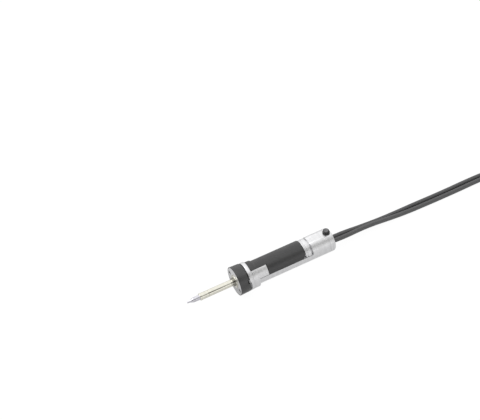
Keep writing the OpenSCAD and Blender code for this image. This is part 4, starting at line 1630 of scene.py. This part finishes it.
@dataclass
class Cords:
    """Power cable and vacuum hose, wound side by side into one tied hank.

    strap is the thickness of a tie, strap_w its width and strap_span its lowest and highest inner point.
    ties has the x and y of each.
    """

    hank_x: float = 372.0
    run: float = 85.0
    first_z: float = 3.55
    turns: int = 3
    steps: int = 23
    cable_lane: float = 22.0
    hose_lane: float = 16.5
    cable_length: float = 1.25
    hose_length: float = 1.291
    strap: float = 0.75
    strap_span: tuple[float, float] = (0.8, 22.8)
    strap_w: float = 9.0
    ties: tuple[tuple[float, float], ...] = ((424.5, -19.25), (392.0, 19.25))

    def turn(self, lane: float, z: float) -> Array:
        """One turn of the hank: near run, far fold, return run on which it rises by one diameter, near fold.

        The rise is the smooth step 3 t^2 - 2 t^3 over the return run.

        Args:
            lane: Distance of the run from the hank's middle line.
            z: Height of the turn's start.

        Returns:
            Points of the turn, its end left out.
        """
        near, far = self.hank_x, self.hank_x + self.run
        t = np.linspace(0, 1, self.steps, endpoint=False)
        one = np.ones_like(t)
        bow = math.pi * (t - 0.5)
        rise = CORD_D * t * t * (3 - 2 * t)
        return np.concatenate([
            np.stack([near + self.run * t, -lane * one, z * one], axis=1),
            np.stack([far + lane * np.cos(bow), lane * np.sin(bow), z * one], axis=1),
            np.stack([far - self.run * t, lane * one, z + rise], axis=1),
            np.stack([near - lane * np.cos(bow), -lane * np.sin(bow), (z + CORD_D) * one], axis=1),
        ])

    def cable_path(self) -> Array:
        """Points that the power cable follows, in millimetres."""
        wound = [self.turn(self.cable_lane, self.first_z + CORD_D * k) for k in range(self.turns)]
        end = [(self.hank_x, -self.cable_lane, self.first_z + CORD_D * self.turns)]
        return resting(spline(np.concatenate([CABLE_ROUTE[:-1], *wound, end, CABLE_TAIL]), 1.2))

    def hose_path(self) -> Array:
        """Points that the vacuum hose follows, in millimetres, out of the last turn's far fold."""
        wound = [self.turn(self.hose_lane, self.first_z + CORD_D * k) for k in range(self.turns + 1)]
        wound[-1] = wound[-1][: 2 * self.steps + 1]
        return resting(spline(np.concatenate([HOSE_ROUTE[:-1], *wound, HOSE_TAIL]), 1.2))

    def tube(self, shop: Workshop, node: str, hank: str, path: Array, slot: Slot) -> bpy.types.Object:
        """Cord as a round tube about its path, with a UV map in metres round it and along it.

        Args:
            shop: The workshop.
            node: CAD node of the free stretch.
            hank: CAD node of the wound stretch.
            path: Points that it follows, in millimetres.
            slot: Its material slot.

        Returns:
            The piece.
        """
        sides = 20
        rings = tube_rings(path, CORD_D / 2, sides, np.array([0.0, 0.0, 1.0]))
        surface = loft(rings)
        mesh = bpy.data.meshes.new(node + "_form")
        mesh.from_pydata(in_metres(surface.points).tolist(), [], surface.quads.tolist() + surface.ends)
        length = np.concatenate([[0], np.cumsum(np.linalg.norm(np.diff(path, axis=0), axis=1))])
        v = MM * length[surface.quads // sides]
        step = MM * math.pi * CORD_D / sides
        column = surface.quads % sides
        seam = (column == 0) & (column.max(axis=1, keepdims=True) == sides - 1)
        u = step * np.where(seam, sides, column)
        layer = mesh.uv_layers.new(name="UVMap")
        corners = np.zeros((len(mesh.loops), 2), np.float32)
        corners[: u.size] = np.stack([u, v], axis=-1).reshape(-1, 2)
        layer.data.foreach_set("uv", corners.ravel())
        bm = bmesh.new()
        bm.from_mesh(mesh)
        bmesh.ops.recalc_face_normals(bm, faces=bm.faces)
        bm.to_mesh(mesh)
        bm.free()
        shop.smooth(mesh, 60.0)
        return shop.finish_piece(node + "_form", mesh, Body.CHASSIS, slot, [node, hank])

    def plug(self, shop: Workshop) -> bpy.types.Object:
        """Round plug: ribbed strain relief, grip, plain nose and its pins.

        Args:
            shop: The workshop.

        Returns:
            The piece.
        """
        grip_r = 6.79
        corners = [(0, 2.8, 0.1), (0, 3.4, 0.2)]
        for k in range(4):
            x, r = 0.6 + 1.4 * k, 3.4 + 0.2 * k
            corners += [(x, r, 0.1), (x, r - 0.35, 0.1), (x + 0.6, r - 0.35, 0.1), (x + 0.6, r + 0.1, 0.1)]
        corners += [(6.3, 4.3, 0.3), (7, 6.2, 0.8), (8, grip_r, 0.5)]
        for k in range(4):
            x = 9.6 + 2.0 * k
            corners += [(x, grip_r, 0.1), (x, 6.45, 0.15), (x + 0.8, 6.45, 0.15), (x + 0.8, grip_r, 0.1)]
        corners += [(18, grip_r, 0.4), (19, 6.2, 0.3), (19, 5.5, 0), (28.1, 5.5, 0.3), (28.4, 5.1, 0.1)]
        corners += [(28.4, 0, 0), (0.5, 0, 0), (0.5, 2.8, 0)]
        shell = turned_part(corners)
        pins = [rod(27.5, 32, 0.55, 0.4).moved(z=3.2).turned(turn) for turn in range(0, 360, 72)]
        surface = shell.joined(*pins).moved(*CABLE_TAIL[-1])
        return shop.make("power_plug", surface, Body.CHASSIS, Slot.PLUG, place=in_metres)

    def fitting(self, shop: Workshop) -> bpy.types.Object:
        """Push-in fitting of the hose: a ferrule, a flange and a plain nose with an open bore.

        Args:
            shop: The workshop.

        Returns:
            The piece.
        """
        surface = turned_part([
            (0.3, 1.5, 0), (0, 2.8, 0.05), (0, 3.4, 0.2), (5, 3.6, 0.2), (5.2, 4.2, 0.2),
            (8, 4.2, 0.25), (8.2, 3, 0.1), (18, 3, 0.3), (18.6, 2.5, 0.2), (18.6, 1.5, 0.1),
        ]).mirrored().moved(*HOSE_TAIL[-1])
        return shop.make("hose_fitting", surface, Body.CHASSIS, Slot.FITTING, place=in_metres)

    def straps(self, shop: Workshop) -> bpy.types.Object:
        """Two straps: bands with rounded corners, each round one side of the hank.

        Args:
            shop: The workshop.

        Returns:
            The piece.
        """
        low, high = self.strap_span
        half, corner = CORD_D, CORD_D / 2
        bands = []
        for x, y in self.ties:
            inner, outer = (
                rounded(np.array([
                    (-half - out, low - out, corner + out), (-half - out, high + out, corner + out),
                    (half + out, high + out, corner + out), (half + out, low - out, corner + out),
                ]), 6)
                for out in (0, self.strap)
            )
            end = x + self.strap_w
            rings = [
                np.stack([side + 0 * line[:, 0], y + line[:, 0], line[:, 1]], axis=-1)
                for side, line in ((x, outer), (end, outer), (end, inner), (x, inner))
            ]
            bands.append(Surface(np.stack(rings, axis=1).reshape(-1, 3), skin_faces(len(outer), 4, True)))
        piece = shop.make("hank_ties", bands[0].joined(bands[1]), Body.CHASSIS, Slot.STRAP, place=in_metres)
        self.box_map(piece.data)
        return piece

    @staticmethod
    def box_map(mesh: bpy.types.Mesh) -> None:
        """Adds a UV map in metres: x along the strap's width, and y or z, whichever its face runs along.

        Args:
            mesh: The straps' mesh.
        """
        count = len(mesh.loops)
        vertex = np.zeros(count, np.int32)
        mesh.loops.foreach_get("vertex_index", vertex)
        co = np.zeros(len(mesh.vertices) * 3, np.float32)
        mesh.vertices.foreach_get("co", co)
        co = co.reshape(-1, 3)[vertex]
        uv = np.stack([co[:, 0], co[:, 1] + co[:, 2]], axis=1)
        layer = mesh.uv_layers.new(name="UVMap")
        layer.data.foreach_set("uv", uv.astype(np.float32).ravel())

    def build(self, shop: Workshop) -> None:
        """Args:
            shop: The workshop.
        """
        cable_path, hose_path = self.cable_path(), self.hose_path()
        cable = self.tube(shop, "power_cable", "power_hank", cable_path, Slot.CABLE)
        hose = self.tube(shop, "vacuum_hose", "hose_hank", hose_path, Slot.HOSE)
        plug, fitting, ties = self.plug(shop), self.fitting(shop), self.straps(shop)


@dataclass
class Studio:
    """Camera, floor, lamps and surroundings.

    floor_share of what the eye sees of the floor is its glow, whose two strengths are for the eye and for
    reflections. dome_soft is the dome's strength in soft light. In reflections the dome has a dark gap,
    which fades out over gap_edge away from its middle, and comes in over gap_side towards the near side.
    """

    azimuth: float = -20.262
    elevation: float = 45.0991
    roll: float = -9.8996
    eye: tuple[float, float, float] = (-0.383298, -1.006573, 1.199211)
    focal_px: float = 1391.66
    image_px: float = 480.0
    sensor: float = 36.0
    floor_half: float = 6.0
    floor_share: float = 0.88
    floor_glow: tuple[float, float] = (1.08, 0.66)
    dome_soft: float = 0.62
    gap_edge: tuple[float, float] = (0.18, 0.42)
    gap_side: tuple[float, float] = (0.1, 0.5)
    gap_colour: Colour = (0.10, 0.10, 0.09)

    def camera(self) -> None:
        """Camera at the photograph's place: its axes come from azimuth, elevation and roll."""
        a, e, roll = (math.radians(v) for v in (self.azimuth, self.elevation, self.roll))
        back = Vector((math.sin(a) * math.cos(e), -math.cos(a) * math.cos(e), math.sin(e)))
        right = Vector((math.cos(a), math.sin(a), 0.0))
        up = back.cross(right)
        cosine, sine = math.cos(roll), math.sin(roll)
        right, up = right * cosine + up * sine, up * cosine - right * sine
        data = bpy.data.cameras.new("camera")
        data.sensor_width = self.sensor
        data.lens = self.focal_px / self.image_px * self.sensor
        data.clip_start, data.clip_end = 0.05, 20.0
        camera = bpy.data.objects.new("camera", data)
        camera.matrix_world = Matrix((
            (right.x, up.x, back.x, self.eye[0]), (right.y, up.y, back.y, self.eye[1]),
            (right.z, up.z, back.z, self.eye[2]), (0, 0, 0, 1),
        ))
        bpy.context.scene.collection.objects.link(camera)
        bpy.context.scene.camera = camera

    @staticmethod
    def seen(s: Shader) -> Socket:
        """Tells what the eye sees from soft light.

        Args:
            s: The shader's builder.

        Returns:
            1 for rays from the camera, reflections and clear bodies, and 0 for soft light.
        """
        path = s.add("ShaderNodeLightPath").outputs
        both = s.math("MAXIMUM", path["Is Camera Ray"], path["Is Glossy Ray"])
        return s.math("MAXIMUM", both, path["Is Transmission Ray"])

    def floor(self) -> None:
        """Pale floor that is white to the eye and keeps a soft shadow."""
        half = self.floor_half
        corners = [(-half, -half, 0), (half, -half, 0), (half, half, 0), (-half, half, 0)]
        mesh = bpy.data.meshes.new("floor")
        mesh.from_pydata(corners, [], [(0, 1, 2, 3)])
        floor = bpy.data.objects.new("floor", mesh)
        bpy.context.scene.collection.objects.link(floor)
        material, s = new_material("pale_floor")
        diffuse = s.add("ShaderNodeBsdfDiffuse", None, Color=(0.86, 0.86, 0.87, 1.0))
        path = s.add("ShaderNodeLightPath").outputs
        strength = s.ramp(path["Is Glossy Ray"], 0, 1, *self.floor_glow)
        glow = s.add("ShaderNodeEmission", None, Color=(1, 1, 1, 1), Strength=strength)
        share = s.math("MULTIPLY", self.seen(s), self.floor_share)
        both = s.add("ShaderNodeMixShader", None, n0=share, n1=diffuse.outputs[0], n2=glow.outputs[0])
        s.add("ShaderNodeOutputMaterial", None, Surface=both.outputs[0])
        mesh.materials.append(material)

    def surroundings(self) -> None:
        """White dome, in which reflections show a darker gap above the near side.

        The gap is a band about the great circle through the tool's axis and the height of the camera. A
        direction's distance from it is its dot product with the circle's normal.
        """
        world = bpy.data.worlds.new("studio_dome")
        bpy.context.scene.world = world
        world.use_nodes = True
        s = Shader(world.node_tree)
        direction = s.add("ShaderNodeTexCoord").outputs["Generated"]
        e = math.atan2(math.tan(math.radians(self.elevation)), math.cos(math.radians(self.azimuth)))
        normal, toward = (0.0, math.sin(e), math.cos(e)), (0.0, -math.cos(e), math.sin(e))
        dot = {"operation": "DOT_PRODUCT"}
        off, near = (
            s.add("ShaderNodeVectorMath", dot, n0=direction, n1=way).outputs["Value"]
            for way in (normal, toward)
        )
        band = s.ramp(s.math("ABSOLUTE", off), *self.gap_edge, 1, 0)
        gap = s.math("MULTIPLY", band, s.ramp(near, *self.gap_side, 0, 1))
        path = s.add("ShaderNodeLightPath").outputs
        gap = s.math("MULTIPLY", gap, path["Is Glossy Ray"])
        colour = s.mix(gap, (1.0, 1.0, 1.0, 1.0), (*self.gap_colour, 1.0))
        strength = s.ramp(self.seen(s), 0, 1, self.dome_soft, 1.0)
        background = s.add("ShaderNodeBackground", None, Color=colour, Strength=strength)
        s.add("ShaderNodeOutputWorld", None, Surface=background.outputs[0])

    def lamp(self, name: str, place: tuple[float, float, float], size: float, power: float) -> None:
        """Adds a soft square lamp that points at the tool.

        Args:
            name: Its name.
            place: Its place in the shared frame, in metres.
            size: Length of its side, in metres.
            power: Its power, in watts.
        """
        data = bpy.data.lights.new(name, "AREA")
        data.size, data.energy = size, power
        lamp = bpy.data.objects.new(name, data)
        lamp.location = place
        lamp.rotation_euler = (-Vector(place)).to_track_quat("-Z", "Y").to_euler()
        bpy.context.scene.collection.objects.link(lamp)

    def build(self) -> None:
        """Makes the floor, the lamps and the surroundings, and sets the plain view transform."""
        self.floor()
        self.surroundings()
        self.lamp("key_lamp", (-0.5, 0.5, 1.3), size=1.0, power=4.0)
        self.lamp("fill_lamp", (0.9, -0.8, 1.1), size=1.2, power=1.6)
        bpy.context.scene.view_settings.view_transform = "Standard"


def main() -> None:
    """Builds the camera and the cords, the tool from front to rear and the studio."""
    logging.basicConfig(level=logging.INFO, format="%(message)s")
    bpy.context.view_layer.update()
    studio, shop = Studio(), Workshop()
    studio.camera()
    for part in (Cords(), Nose(), Housing(), Collector(), Clamp(), Button()):
        part.build(shop)
    studio.build()


if __name__ == "__main__":
    main()
